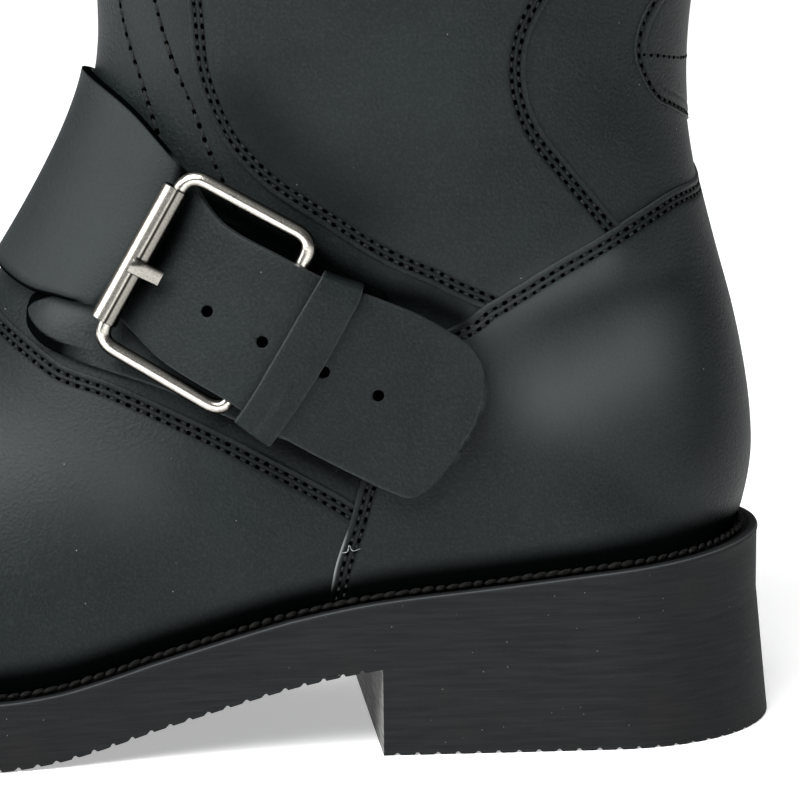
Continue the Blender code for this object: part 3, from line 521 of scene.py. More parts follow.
SHAFT_SECTIONS = (
    # back x, back z, front x, front z, half width, fullness in front, fullness behind
    (7.4, 41.0, 140.8, 139.6, 36.2, 2.2, 2.70),
    (4.8, 51.0, 140.4, 143.5, 36.8, 2.2, 2.70),
    (4.4, 60.0, 140.4, 147.5, 37.4, 2.2, 2.65),
    (5.6, 72.0, 140.5, 152.5, 38.2, 2.2, 2.60),
    (8.5, 86.5, 140.6, 158.5, 39.0, 2.2, 2.55),
    (12.6, 101.5, 140.8, 165.5, 40.0, 2.2, 2.45),
    (16.2, 116.0, 141.0, 173.5, 41.2, 2.2, 2.40),
    (18.3, 131.0, 141.2, 183.0, 42.5, 2.2, 2.30),
    (18.2, 146.0, 141.5, 193.5, 44.0, 2.2, 2.25),
    (16.0, 164.0, 142.0, 206.0, 45.8, 2.2, 2.20),
    (13.0, 187.0, 142.7, 221.5, 47.8, 2.2, 2.20),
    (10.0, 214.0, 143.5, 238.5, 49.6, 2.2, 2.20),
    (8.0, 242.0, 144.0, 254.5, 51.0, 2.2, 2.20),
    (7.0, 270.0, 144.5, 270.0, 52.0, 2.2, 2.20),
)
HEEL_ROW = len(FOOT_SECTIONS)
COLLAR_ROW = HEEL_ROW + len(SHAFT_SECTIONS) - 1
ARC_SAMPLES = 49
SEAT_SLACK = (1.002, 0.01)
SKIN_PARTS = 12
ROWS_EACH = 20
AROUND_CELLS = 240
TOE_TIP_ROW = 0.2
# How the crease beside the heel is eased, and how a place on the upper is searched for
EASE_PASSES = 400
EASE_RATE = 0.25
EASE_ROWS = 1.6
EASE_BACK = 0.06
SEARCH_PASSES = 8
SEARCH_SKIP = 4
SEARCH_STEP = 0.02
SEARCH_DAMPING = 0.5
SEARCH_MOST = np.array((0.3, 0.05))
LINE_DETAIL = 8
TRACE_POINTS = 80
MARK_REACH = 3
WALL_ROWS = 300
WALL_COLUMNS = 181
LINING_ROWS = 120
COLLAR_DROP = 1.0
COLLAR_ROLL = (
    # distance in from the outer face, height above that face's end
    (0.35, 0.7), (1.1, 1.0), (1.85, 0.7), (2.2, 0.0),
)


def fan():
    """Sections of the upper in order, from the toe round the instep and up the shaft."""
    base_x, ridge_x, ridge_z, bulge, above, below, ridge_y = columns(FOOT_SECTIONS)
    base_z = sole_top(base_x) + WELT_GAP
    ridge_z = np.where(ridge_x == base_x, base_z, ridge_z)
    half = sole_half(base_x, seat_inset(base_x)) + bulge
    foot = np.stack([base_x, base_z, ridge_x, ridge_z, half, above, below, ridge_y])
    back_x, back_z, front_x, front_z, half, before, behind = columns(SHAFT_SECTIONS)
    back_z[0] = sole_top(back_x[0]) + WELT_GAP
    shaft = np.stack([back_x, back_z, front_x, front_z, half, before, behind, 0 * half])
    return np.concatenate([foot, shaft], axis=1)


def section_points(row, around):
    """Points of the upper's outer face, from its sections.

    row counts along the sections from 0 at the toe to COLLAR_ROW; around runs from -1 at the
    inner side's seat over the ridge (0) to 1 at the outer side's seat.
    """
    row, around = np.broadcast_arrays(np.asarray(row, float), np.asarray(around, float))
    keys = np.arange(COLLAR_ROW + 1.0)
    base_x, base_z, ridge_x, ridge_z, half, above, below, ridge_y = (
        flowing(keys, values, row) for values in fan())
    seat = np.where(row < HEEL_ROW, sole_half(base_x, seat_inset(base_x)), 0.0)
    base_z = np.where(row < HEEL_ROW, sole_top(base_x) + WELT_GAP, base_z)
    seat_y = np.where(row < HEEL_ROW, sole_centre(base_x), 0.0)
    half = np.maximum(half, seat * SEAT_SLACK[0] + SEAT_SLACK[1])
    last = math.pi - np.arcsin((seat / half) ** (below / 2))
    lowest = np.abs(np.cos(last)) ** (2 / below)

    def half_section(angle, widest, above, below, lowest):
        power = 2 / np.where(angle < math.pi / 2, above, below)
        across = widest * np.abs(np.sin(angle)) ** power
        height = np.sign(np.cos(angle)) * np.abs(np.cos(angle)) ** power
        return across, (1 - height) / (1 + lowest)

    length = np.hypot(ridge_x - base_x, ridge_z - base_z)
    shape = (half, above, below, lowest)
    angles = last[..., None] * np.linspace(0, 1, ARC_SAMPLES)
    across, down = half_section(angles, *(value[..., None] for value in shape))
    steps = np.hypot(np.diff(across, axis=-1), np.diff(down, axis=-1) * length[..., None])
    travelled = np.concatenate([np.zeros(row.shape + (1,)), np.cumsum(steps, axis=-1)], axis=-1)
    wanted = np.abs(around) * travelled[..., -1]
    part = np.clip((travelled < wanted[..., None]).sum(axis=-1) - 1, 0, ARC_SAMPLES - 2)
    before = np.take_along_axis(travelled, part[..., None], -1)[..., 0]
    after = np.take_along_axis(travelled, part[..., None] + 1, -1)[..., 0]
    share = (wanted - before) / np.maximum(after - before, 1e-9)
    across, down = half_section(last * (part + share) / (ARC_SAMPLES - 1), *shape)
    x = ridge_x + (base_x - ridge_x) * down
    y = ridge_y + (seat_y - ridge_y) * down + np.sign(around) * across
    z = ridge_z + (base_z - ridge_z) * down
    return np.stack([x, y, z], axis=-1)


def unit(vectors):
    """Vectors made one long."""
    return vectors / np.maximum(np.linalg.norm(vectors, axis=-1, keepdims=True), 1e-9)


def facing(points, rows):
    """Outward directions of a grid of the upper's points."""
    normal = np.cross(np.gradient(points, axis=1), np.gradient(points, axis=0))
    first = int(TOE_TIP_ROW * ROWS_EACH)
    normal[:first] = normal[first]
    back = rows >= HEEL_ROW
    both = normal[back, 0] + normal[back, -1]
    normal[back, 0] = both
    normal[back, -1] = both
    return unit(normal)


def eased(points, rows):
    """The grid with the crease beside the heel's back eased out between the sections."""
    soft = points.copy()
    for _ in range(EASE_PASSES):
        soft[1:-1] = soft[1:-1] + EASE_RATE * (soft[:-2] - 2 * soft[1:-1] + soft[2:])
    near = np.exp(-((rows - HEEL_ROW) / EASE_ROWS) ** 4)[:, None, None]
    inside = np.clip((1 - np.abs(skin_around)) / EASE_BACK, 0, 1)[None, :, None]
    return points + (soft - points) * near * inside


skin_rows = np.linspace(0, COLLAR_ROW, COLLAR_ROW * ROWS_EACH + 1)
skin_around = np.linspace(-1, 1, AROUND_CELLS + 1)
skin_points = eased(np.concatenate([section_points(part[:, None], skin_around)
                                    for part in np.array_split(skin_rows, SKIN_PARTS)]), skin_rows)
skin_normals = facing(skin_points, skin_rows)


def sampled(grid, row, around):
    """Smooth value of a grid over the upper at any row and around."""
    row, around = np.broadcast_arrays(np.asarray(row, float), np.asarray(around, float))
    total = 0.0
    at_row = np.clip(row, 0, COLLAR_ROW) * ROWS_EACH
    at_around = (np.clip(around, -1, 1) + 1) / 2 * AROUND_CELLS
    low_row = np.clip(np.floor(at_row).astype(int), 0, len(grid) - 2)
    low_around = np.clip(np.floor(at_around).astype(int), 0, AROUND_CELLS - 1)
    f = at_row - low_row
    g = at_around - low_around

    def weights(t):
        return (((2 - t) * t - 1) * t / 2, ((3 * t - 5) * t * t + 2) / 2,
                ((4 - 3 * t) * t + 1) * t / 2, (t - 1) * t * t / 2)

    for i, wide in enumerate(weights(f)):
        for j, high in enumerate(weights(g)):
            picked = grid[np.clip(low_row + i - 1, 0, len(grid) - 1),
                          np.clip(low_around + j - 1, 0, AROUND_CELLS)]
            total = total + (wide * high)[..., None] * picked
    return total


def on_skin(row, around, out=0.0):
    """Point that lies the given distance out from the upper's outer face."""
    away = np.asarray(out, float)[..., None]
    return sampled(skin_points, row, around) + unit(sampled(skin_normals, row, around)) * away


def place(x, z, side):
    """Row and around of the points that show at x, z from one side of the boot."""
    x = np.asarray(x, float)
    z = np.asarray(z, float)
    half = skin_points[SEARCH_SKIP::SEARCH_SKIP, AROUND_CELLS // 2::SEARCH_SKIP * side]
    rows, arounds = np.meshgrid(skin_rows[SEARCH_SKIP::SEARCH_SKIP], np.linspace(0, side, half.shape[1]),
                                indexing="ij")
    far = (half[..., 0].ravel() - x[:, None]) ** 2 + (half[..., 2].ravel() - z[:, None]) ** 2
    nearest = far.argmin(axis=1)
    row = rows.ravel()[nearest]
    around = arounds.ravel()[nearest]
    for _ in range(SEARCH_PASSES):
        here = on_skin(row, around)
        miss = np.stack([x - here[:, 0], z - here[:, 2]], axis=1)
        by_row = on_skin(row + SEARCH_STEP, around) - on_skin(row - SEARCH_STEP, around)
        by_around = on_skin(row, around + SEARCH_STEP) - on_skin(row, around - SEARCH_STEP)
        slope = np.stack([by_row[:, [0, 2]], by_around[:, [0, 2]]], axis=2) / (2 * SEARCH_STEP)
        turned = slope.transpose(0, 2, 1)
        square = turned @ slope + SEARCH_DAMPING * np.eye(2)
        step = np.linalg.solve(square, turned @ miss[:, :, None])[:, :, 0]
        step = np.clip(step, -SEARCH_MOST, SEARCH_MOST)
        row = np.clip(row + step[:, 0], TOE_TIP_ROW, COLLAR_ROW)
        around = side * np.clip(side * (around + step[:, 1]), 0, 1)
    return row, around


def grid_faces(count, width):
    """Four-cornered faces of a grid of points."""
    at = np.arange(count * width).reshape(count, width)
    return np.stack([at[:-1, :-1], at[1:, :-1], at[1:, 1:], at[:-1, 1:]], axis=-1).reshape(-1, 4)


def distance_along(points):
    """Distance of each point of a line from the line's start."""
    return np.concatenate([[0], np.cumsum(np.linalg.norm(np.diff(points, axis=0), axis=1))])


def drawn(rows, arounds, count):
    """Smooth line over the upper through a few places, as evenly spaced rows and arounds."""
    rows = np.asarray(rows, float)
    arounds = np.asarray(arounds, float)
    keys = distance_along(on_skin(rows, arounds))
    at = np.linspace(0, keys[-1], count)
    return flowing(keys, rows, at), np.clip(flowing(keys, arounds, at), -1, 1)


def nearest_distance(points, line):
    """Distance from each point to the nearest place on a line of points."""
    at = np.linspace(0, len(line) - 1, len(line) * LINE_DETAIL)
    dense = np.stack([np.interp(at, np.arange(len(line)), values) for values in line.T], axis=1)
    tree = KDTree(len(dense))
    for index, spot in enumerate(dense):
        tree.insert(spot, index)
    tree.balance()
    found = [tree.find(spot)[2] for spot in points.reshape(-1, 3)]
    return np.array(found).reshape(points.shape[:-1])


CREASES = (
    # lift (below zero for a trough), width, then x and z along it on the outer side
    (-0.7, 3.6, ((66.0, 84.5), (60.0, 87.3), (48.2, 91.7), (35.7, 95.0), (24.3, 97.6))),
    (0.4, 3.6, ((64.7, 89.4), (52.3, 96.0), (40.1, 102.2), (27.0, 107.9))),
    (0.45, 9.0, ((52.0, 76.0), (39.6, 78.0), (31.0, 79.0))),
    (0.4, 4.0, ((66.0, 101.5), (56.5, 105.0), (46.0, 112.0))),
    (-0.3, 4.0, ((122.0, 60.0), (112.0, 52.0), (106.0, 42.0))),
)
SHADE_LINES = (
    # blackness of painted shade, width, then x and z along shaded places: beside the strap and the buckle,
    # in the trough over the counter, at the back of the heel and on the quarter
    (1.0, 4.2, ((121.0, 115.0), (112.1, 110.3), (101.0, 103.0))),
    (0.9, 3.4, ((101.0, 103.0), (92.0, 99.5), (84.0, 96.0), (76.7, 94.2), (68.5, 90.6))),
    (0.8, 2.6, ((117.0, 71.8), (108.0, 67.0), (99.0, 62.4), (90.5, 57.8))),
    (0.2, 3.4, ((66.0, 85.0), (60.0, 87.3), (48.2, 91.7), (35.7, 95.0), (24.3, 97.6))),
    (0.3, 7.0, ((18.0, 90.0), (16.5, 76.0), (17.0, 62.0))),
    (0.45, 6.0, ((7.5, 82.0), (5.5, 68.0), (5.5, 54.0))),
    (0.45, 9.0, ((112.0, 134.0), (104.0, 124.0), (92.0, 113.0))),
)
PAINTED_SHEEN = (
    # paleness of painted sheen highlights, width, then x and z along the stretched bulges of the waxed
    # leather where they lie
    (0.58, 10.0, ((49.0, 75.0), (39.6, 78.5), (32.0, 82.5))),
    (0.45, 4.5, ((64.7, 88.4), (52.3, 95.5), (40.1, 101.9))),
    (0.28, 13.0, ((166.0, 62.0), (150.0, 63.0), (138.0, 60.0))),
    (0.12, 9.0, ((136.0, 160.0), (130.0, 146.0))),
)
SHADE_TOP = 8.5
SHADE_FADE = 5.0


def traced(lines):
    """Lines on the upper's outer side from tables of a strength, a width and places."""
    return [(strength, width, on_skin(*drawn(*place(*columns(spots), 1), TRACE_POINTS)))
            for strength, width, spots in lines]


def bell(distance, width):
    """Soft mark that fades on both sides of its middle."""
    return np.exp(-(distance / width) ** 2)


def ramped(value, zero, one):
    """Share that is 0 at the first place and 1 at the second."""
    return np.clip((value - zero) / (one - zero), 0, 1)


def along_lines(ground, lines):
    """Sum of soft marks along lines at points of the upper's outer face."""
    total = np.zeros(ground.shape[:-1])
    for strength, width, line in lines:
        reach = MARK_REACH * width
        near = ((ground > line.min(axis=0) - reach) & (ground < line.max(axis=0) + reach)).all(axis=-1)
        total[near] += strength * bell(nearest_distance(ground[near], line), width)
    return total


crease_lines = traced(CREASES)
shade_lines = traced(SHADE_LINES)
sheen_lines = traced(PAINTED_SHEEN)


def painted_shade(points):
    """Painted shade on the leather, from 0 to 1: black beside the welt and in the hollows."""
    low = np.clip((SHADE_TOP - points[..., 2] + sole_top(points[..., 0])) / SHADE_FADE, 0, 1)
    return np.clip(low * low * (3 - 2 * low) + along_lines(points, shade_lines), 0, 1)


leather = grained_leather("black waxed leather", "#111617", "#171d1e")
lining = grained_leather("brown lining leather", "#4a4038", "#5c5046", 0.2)

outer_rows = np.linspace(0, COLLAR_ROW, WALL_ROWS)[:, None]
outer_around = np.linspace(-1, 1, WALL_COLUMNS)
outer = on_skin(outer_rows, outer_around)
outer = on_skin(outer_rows, outer_around, along_lines(outer, crease_lines))
outer[-1, :, 2] -= COLLAR_DROP
rolled = [on_skin(COLLAR_ROW, outer_around, -inwards) + (0, 0, up - COLLAR_DROP)
          for inwards, up in COLLAR_ROLL]
inner_rows = np.linspace(COLLAR_ROW, 0, LINING_ROWS)[:, None]
inner = on_skin(inner_rows, outer_around, -WALL)
inner[..., 2] = np.maximum(inner[..., 2], sole_top(inner[..., 0]) + WELT_GAP)
inner[0, :, 2] -= COLLAR_DROP
wall = np.concatenate([outer, np.array(rolled), inner[1:]])
lined = np.repeat(np.arange(len(wall) - 1) >= WALL_ROWS + len(COLLAR_ROLL) - 1, WALL_COLUMNS - 1)
# Painted shade beside the welt and in the hollows, and painted sheen highlights on the bulges.
piece("upper_wall", wall.reshape(-1, 3), grid_faces(*wall.shape[:2]).tolist(), [leather, lining], ["upper"],
      "leather", attributes={"shade_and_black_edge": painted_shade(wall), "painted_sheen": along_lines(wall, sheen_lines)}, indices=lined)

# Vamp, quarters, heel counter and back patch
# Single layers of the same leather, cut to shape, sewn onto the upper with one or two rows of stitches.
# Each has a raw cut edge, and the thread pulls a shallow channel along its rows.
EDGE_LINES = (
    # distances of the mesh's lines from a cut edge
    0.0, 0.1, 0.25, 0.5, 0.8, 1.1, 1.35, 1.6, 1.85, 2.1, 2.35, 2.65, 2.95, 3.2, 3.45, 3.7, 4.0, 4.4,
    5.2, 6.4, 8.0,
)
EDGE_ROUND = 0.3
EDGE_SHARE = 0.6
CUT_WIDE = 0.3
CUT_PALE = 0.2
SCUFF_WIDE = 0.25
SCUFF_PALE = 0.4
SKIRT_OUT = -0.15
CHANNEL_WIDE = 0.6
CHANNEL_DEEP = 0.25
CHANNEL_SHADE = 0.75
GROOVE_WIDE = 0.35
GROOVE_DEEP = 0.12
SEAM_CLEAR = 0.4
SEAM_ROWS = (1.5, 2.95)
PATCH_SEAM = (1.0,)
PATCH_GROOVE = 3.4
PANEL_OUT = 0.6
COUNTER_OUT = 1.15
COUNTER_BACK_OUT = 0.5
PATCH_OUT = 0.4
VAMP_TOP = (
    # x, z from the welt under the counter, up and forward to the instep
    (88.5, 33.5), (87.0, 42.0), (86.2, 49.4), (91.0, 52.8), (105.0, 60.9), (117.7, 67.6),
    (129.4, 73.1), (139.0, 77.2), (150.5, 81.2),
)
VAMP_RIDGE_X = 164.3
QUARTER_FRONT = (
    # x, z from under the counter to the collar
    (58.0, 90.0), (64.0, 92.8), (74.0, 97.6), (86.0, 103.2), (95.6, 109.4), (109.8, 119.2), (116.2, 126.6),
    (121.4, 139.4), (123.3, 156.0), (124.0, 180.0), (125.0, 225.0), (125.6, 270.0),
)
QUARTER_REAR = (
    # x, z from under the counter to the collar
    (30.0, 101.5), (35.8, 109.2), (41.8, 116.6), (47.2, 123.3), (52.0, 129.5), (54.9, 135.9), (55.8, 142.5),
    (54.6, 150.0), (51.4, 156.3), (47.5, 163.0), (41.5, 174.0), (36.0, 195.0), (33.0, 230.0), (33.0, 270.0),
)
COUNTER_SEAT_X = 96.0
COUNTER_EDGE = (
    # x, z from the welt up the counter's front edge and back along its top
    (94.0, 40.0), (91.2, 48.6), (88.6, 58.0), (84.8, 68.5), (78.5, 80.0), (71.0, 88.4), (61.0, 95.0),
    (54.4, 99.2), (43.0, 105.6), (35.6, 109.4), (26.0, 113.9),
)
COUNTER_BACK_Z = 116.6
COUNTER_WORN_Z = 47.0
WORN_LENGTH = 15.0
WORN_FADE = 3.0
WRAP_LEAST = 14.0
WRAP_THIN_X = (16.0, 46.0)
VAMP_COLUMNS = 361
VAMP_STEPS = 90
VAMP_RUN = 160
QUARTER_ROWS = 300
QUARTER_STEPS = 22
QUARTER_BOW = 1.04
WRAP_ROWS = 420
WRAP_STEPS = 50
WRAP_RUN = 60
PATCH_EDGE = (
    # x, z from the patch's lower end round its front to its upper end
    (23.4, 131.0), (27.3, 133.6), (30.6, 138.6), (32.3, 143.7), (31.8, 148.5), (28.3, 155.0),
)
PATCH_BACK_Z = (125.6, 160.0)
stitch_rows = []


def seat_row(x):
    """Row whose section stands on the welt at x."""
    foot_x = columns(FOOT_SECTIONS)[0]
    at = np.linspace(0, HEEL_ROW - 1, 800)
    return np.interp(-x, -flowing(np.arange(HEEL_ROW, dtype=float), foot_x, at), at)


def back_row(z):
    """Row whose section meets the back of the shaft at height z."""
    back = skin_points[HEEL_ROW * ROWS_EACH:, -1, 2]
    return np.interp(z, back, skin_rows[HEEL_ROW * ROWS_EACH:])


def ridge_row(x):
    """Row whose section meets the instep's ridge at x."""
    last = (HEEL_ROW - 2) * ROWS_EACH
    ridge = skin_points[:last, AROUND_CELLS // 2, 0]
    return np.interp(-x, -ridge, skin_rows[:last])


def edge_first(width, middle):
    """Distances from an edge, in millimetres, that start with the edge's own lines."""
    fine = np.array([line for line in EDGE_LINES if line < width * EDGE_SHARE])
    coarse = np.linspace(0, 1, middle + 2)[1:]
    return np.concatenate([fine, fine[-1] + (width - fine[-1]) * coarse])


def panel(name, rows, arounds, free_sides, thick, stitch_at, node, grooves=(), worn_z=0.0):
    """Panel over a grid of rows and arounds: free_sides say which of its first and last lines are cut edges.

    Grooves are plain channels at distances from the edge; the cut edge is rubbed pale below worn_z.
    """
    ground = on_skin(rows, arounds)
    distance = np.min([nearest_distance(ground, ground[:, line]) for line in free_sides], axis=0)
    thick = np.broadcast_to(thick, rows.shape)
    inward = np.clip(1 - distance / EDGE_ROUND, 0, 1)
    height = thick - EDGE_ROUND + EDGE_ROUND * np.sqrt(1 - inward ** 2)
    shade_and_black_edge = painted_shade(ground)
    # Painted shade darkens the channel along each row of stitches.
    for at in stitch_at:
        channel = bell(distance - at, CHANNEL_WIDE)
        height = height - CHANNEL_DEEP * channel
        shade_and_black_edge = np.maximum(shade_and_black_edge, CHANNEL_SHADE * channel)
    for at in grooves:
        height = height - GROOVE_DEEP * bell(distance - at, GROOVE_WIDE)
    lift = along_lines(ground, crease_lines)
    points = on_skin(rows, arounds, height + lift)
    cut = CUT_PALE * bell(distance, CUT_WIDE)
    # Painted sheen highlights on the panel's bulges.
    painted_sheen = along_lines(ground, sheen_lines)
    below = worn_z - ground[..., 2]
    worn_part = np.clip(below / WORN_FADE, 0, 1) * np.clip((WORN_LENGTH - below) / WORN_FADE, 0, 1)
    scuff_and_painted_highlight = SCUFF_PALE * worn_part * bell(distance, SCUFF_WIDE)
    half = distance.shape[1] // 2
    for line in free_sides:
        first = line == 0
        beside = ((0, 0), (1, 0) if first else (0, 1))
        near = slice(0, half) if first else slice(-1, -half, -1)
        skirt = on_skin(rows[:, line], arounds[:, line], SKIRT_OUT)[:, None]
        points = np.concatenate((skirt, points) if first else (points, skirt), axis=1)
        cut = np.pad(cut, beside, constant_values=1.0)
        shade_and_black_edge, scuff_and_painted_highlight, painted_sheen = (np.pad(values, beside, mode="edge") for values in (shade_and_black_edge, scuff_and_painted_highlight, painted_sheen))
        for at in stitch_at:
            found = np.array([[np.interp(at, far[near], values[near]) for far, values in zip(distance, grid)]
                              for grid in (rows, arounds, thick + lift - CHANNEL_DEEP)])
            reach = distance[:, near].max(axis=1) > at + SEAM_CLEAR
            stitch_rows.append(tuple(found[:, reach]))
    faces = grid_faces(*points.shape[:2])
    piece(name, points.reshape(-1, 3), faces.tolist(), [leather], [node], "leather",
          attributes={"cut_edge": cut, "shade_and_black_edge": shade_and_black_edge, "scuff_and_painted_highlight": scuff_and_painted_highlight, "painted_sheen": painted_sheen})


def outer_edge(table, first, last):
    """Rows and arounds of a side-view line on the outer side, between two exact places."""
    row, around = place(*columns(table), 1)
    return np.concatenate([[first[0]], row, [last[0]]]), np.concatenate([[first[1]], around, [last[1]]])


# The vamp runs from the toe's tip back to its top edge, over both sides at once
vamp_seat = seat_row(VAMP_TOP[0][0])
edge_row, edge_around = outer_edge(VAMP_TOP, (vamp_seat, 1.0), (ridge_row(VAMP_RIDGE_X), 0.0))
inner_row, inner_around = place(*columns(VAMP_TOP), -1)
keys = np.concatenate([[-1.0], inner_around, edge_around[::-1]])
ends = np.concatenate([[vamp_seat], inner_row, edge_row[::-1]])
order = np.argsort(keys)
vamp_around = np.linspace(-1, 1, VAMP_COLUMNS)
vamp_rows = []
for around, end in zip(vamp_around, steady(keys[order], ends[order], vamp_around)):
    run = np.linspace(end, 0, VAMP_RUN)
    path = distance_along(on_skin(run, around))
    vamp_rows.append(np.interp(edge_first(path[-1], VAMP_STEPS), path, run))
vamp_rows = np.array(vamp_rows)
panel("vamp_leather", vamp_rows, np.broadcast_to(vamp_around[:, None], vamp_rows.shape), (0,), PANEL_OUT,
      SEAM_ROWS, "vamp")

# The quarters lie between two seams that run from the counter to the collar
for hand, node in ((1, "quarter_lateral"), (-1, "quarter_medial")):
    front = drawn(*place(*columns(QUARTER_FRONT), hand), QUARTER_ROWS)
    rear = drawn(*place(*columns(QUARTER_REAR), hand), QUARTER_ROWS)
    rows = []
    arounds = []
    for front_row, front_around, rear_row, rear_around in zip(*front, *rear):
        ends_at = on_skin(np.array([front_row, rear_row]), np.array([front_around, rear_around]))
        width = np.linalg.norm(ends_at[1] - ends_at[0]) * QUARTER_BOW
        left = edge_first(width / 2, QUARTER_STEPS) / width
        share = np.concatenate([left, 1 - left[-2::-1]])
        rows.append(front_row + (rear_row - front_row) * share)
        arounds.append(front_around + (rear_around - front_around) * share)
    panel(node + "_leather", np.array(rows), np.array(arounds), (0, -1), PANEL_OUT, SEAM_ROWS, node)

# The counter and the patch wrap round the back seam: lines run from their edge to the back and the welt
for name, node, thick, back_out, stitches, grooves, worn_z, first, table, last in (
        ("counter_leather", "heel_counter", COUNTER_OUT, COUNTER_BACK_OUT, SEAM_ROWS, (), COUNTER_WORN_Z,
         seat_row(COUNTER_SEAT_X), COUNTER_EDGE, back_row(COUNTER_BACK_Z)),
        ("patch_leather", "back_patch", PATCH_OUT, PATCH_OUT, PATCH_SEAM, (PATCH_GROOVE,), 0.0,
         back_row(PATCH_BACK_Z[0]), PATCH_EDGE, back_row(PATCH_BACK_Z[1]))):
    edge_row, edge_around = drawn(*outer_edge(table, (first, 1.0), (last, 1.0)), WRAP_ROWS)
    back = np.linspace(first, last, WRAP_ROWS)
    run = np.linspace(0, 1, WRAP_RUN)
    rows = []
    arounds = []
    for from_row, from_around, to_row in zip(edge_row, edge_around, back):
        path = on_skin(from_row + (to_row - from_row) * run, from_around + (1 - from_around) * run)
        length = max(distance_along(path)[-1], WRAP_LEAST)
        share = edge_first(length, WRAP_STEPS) / length
        rows.append(from_row + (to_row - from_row) * share)
        arounds.append(from_around + (1 - from_around) * share)
    rows = np.array(rows)
    arounds = np.array(arounds)
    outs = back_out + (thick - back_out) * ramped(on_skin(rows, arounds)[..., 0], *WRAP_THIN_X)
    panel(name + "_outer", rows, arounds, (0,), outs, stitches, node, grooves, worn_z)
    panel(name + "_inner", rows, -arounds, (0,), outs, stitches, node, grooves)

# Stitching
# Waxed black thread: every stitch is a short bead of thread between two needle holes.
# Two rows hold the panels' edges; single rows run up the front panel and cross the patch.
SEAM_START = 0.3
SEAM_TOP = 266.0
STITCH_PITCH = 2.25
FRONT_PITCH = 3.0
HOLE_LIFT = 0.04
THREAD_LIFT = 0.02
FRONT_THREAD_LIFT = 0.05
PATCH_ROW_OUT = PATCH_OUT - 0.1
SHORTEST_ROW = 8
LINE_END = 100.0
BEAD_LEAST = (0.7, 0.7, 0.85)
BEAD_MOST = (1.15, 1.2, 1.15)
BEAD_SEED = 7
HOLE_SIZE = (1.2, 0.9, 0.4)
THREAD_SIZE = (1.3, 0.65, 0.45)
FRONT_HOLE_SIZE = (1.6, 1.2, 0.4)
FRONT_THREAD_SIZE = (2.6, 0.9, 0.7)
FRONT_LINES = (
    # x, z of the two rows up the front panel, from under the strap to just below the collar
    ((127.6, 122.0), (129.8, 129.1), (133.6, 141.5), (136.5, 153.6), (136.3, 185.0), (136.0, 225.0),
     (136.0, 266.0)),
    ((114.0, 113.0), (118.0, 121.8), (123.9, 136.8), (129.7, 154.6), (130.4, 185.0), (130.6, 225.0),
     (130.6, 266.0)),
)
PATCH_ROW = (
    # x, z of the row across the patch, as far as it shows; it goes on level round the back
    (30.6, 143.4), (27.0, 142.6), (23.6, 141.6), (20.4, 140.6),
)


def dyed_thread(name, dark, light, shine=0.2):
    """Waxed cotton thread: dull, with a fine light and dark twist."""
    material, tree, shader, place = surface(name)
    twist = add(tree, "ShaderNodeTexNoise", {"Vector": place, "Scale": per_metre(0.5), "Detail": 2.0})
    tone = add(tree, "ShaderNodeMapRange", {"Value": twist.outputs[0], "From Min": 0.4, "From Max": 0.65})
    base = add(tree, "ShaderNodeMix", {0: tone.outputs[0], 6: colour(dark), 7: colour(light)},
               data_type="RGBA")
    feed(tree, shader, {"Base Color": base.outputs[2], "Roughness": 0.75, "Specular IOR Level": shine})
    return material


def bead_tree():
    """Geometry Nodes group that lays a rounded bead at every pitch along lines."""
    tree = bpy.data.node_groups.new("beads along lines", "GeometryNodeTree")
    for name, kind in (("Geometry", "Geometry"), ("Start", "Float"), ("Pitch", "Float"), ("Size", "Vector"),
                       ("Turn", "Float"), ("Shift", "Float"), ("Material", "Material")):
        tree.interface.new_socket(name, in_out="INPUT", socket_type="NodeSocket" + kind)
    tree.interface.new_socket("Geometry", in_out="OUTPUT", socket_type="NodeSocketGeometry")
    given = add(tree, "NodeGroupInput").outputs

    def result(kind, inputs=None, **settings):
        return add(tree, kind, inputs, **settings).outputs[0]

    curve = result("GeometryNodeMeshToCurve", {"Mesh": given["Geometry"]})
    trimmed = add(tree, "GeometryNodeTrimCurve", {0: curve}, mode="LENGTH")
    limits = {socket.identifier: socket for socket in trimmed.inputs}
    tree.links.new(given["Start"], limits["Start_001"])
    limits["End_001"].default_value = LINE_END
    spaced = result("GeometryNodeResampleCurve", {"Curve": trimmed.outputs[0], "Length": given["Pitch"]},
                    mode="LENGTH")
    ball = result("GeometryNodeMeshUVSphere", {"Segments": 6, "Rings": 5, "Radius": 0.5})
    onward = result("ShaderNodeCombineXYZ", {"X": given["Shift"]})
    shifted = result("GeometryNodeTransform", {"Geometry": ball, "Translation": onward})
    along = result("GeometryNodeInputTangent")
    outward = result("GeometryNodeInputNamedAttribute", {"Name": "outward"}, data_type="FLOAT_VECTOR")
    lie = result("FunctionNodeAlignRotationToVector", {"Vector": along}, axis="X")
    stand = result("FunctionNodeAlignRotationToVector", {"Rotation": lie, "Vector": outward}, axis="Z",
                   pivot_axis="X")
    spin = result("ShaderNodeCombineXYZ", {"Z": given["Turn"]})
    turned = result("FunctionNodeRotateRotation", {"Rotation": stand, "Rotate By": spin},
                    rotation_space="LOCAL")
    uneven = result("FunctionNodeRandomValue", {"Min": BEAD_LEAST, "Max": BEAD_MOST, "Seed": BEAD_SEED},
                    data_type="FLOAT_VECTOR")
    size = result("ShaderNodeVectorMath", {0: given["Size"], 1: uneven}, operation="MULTIPLY")
    laid = result("GeometryNodeInstanceOnPoints", {"Points": spaced, "Instance": shifted, "Rotation": turned,
                                                   "Scale": size})
    real = result("GeometryNodeRealizeInstances", {"Geometry": laid})
    dyed = result("GeometryNodeSetMaterial", {"Geometry": real, "Material": given["Material"]})
    add(tree, "NodeGroupOutput", {0: dyed})
    return tree


beads = bead_tree()


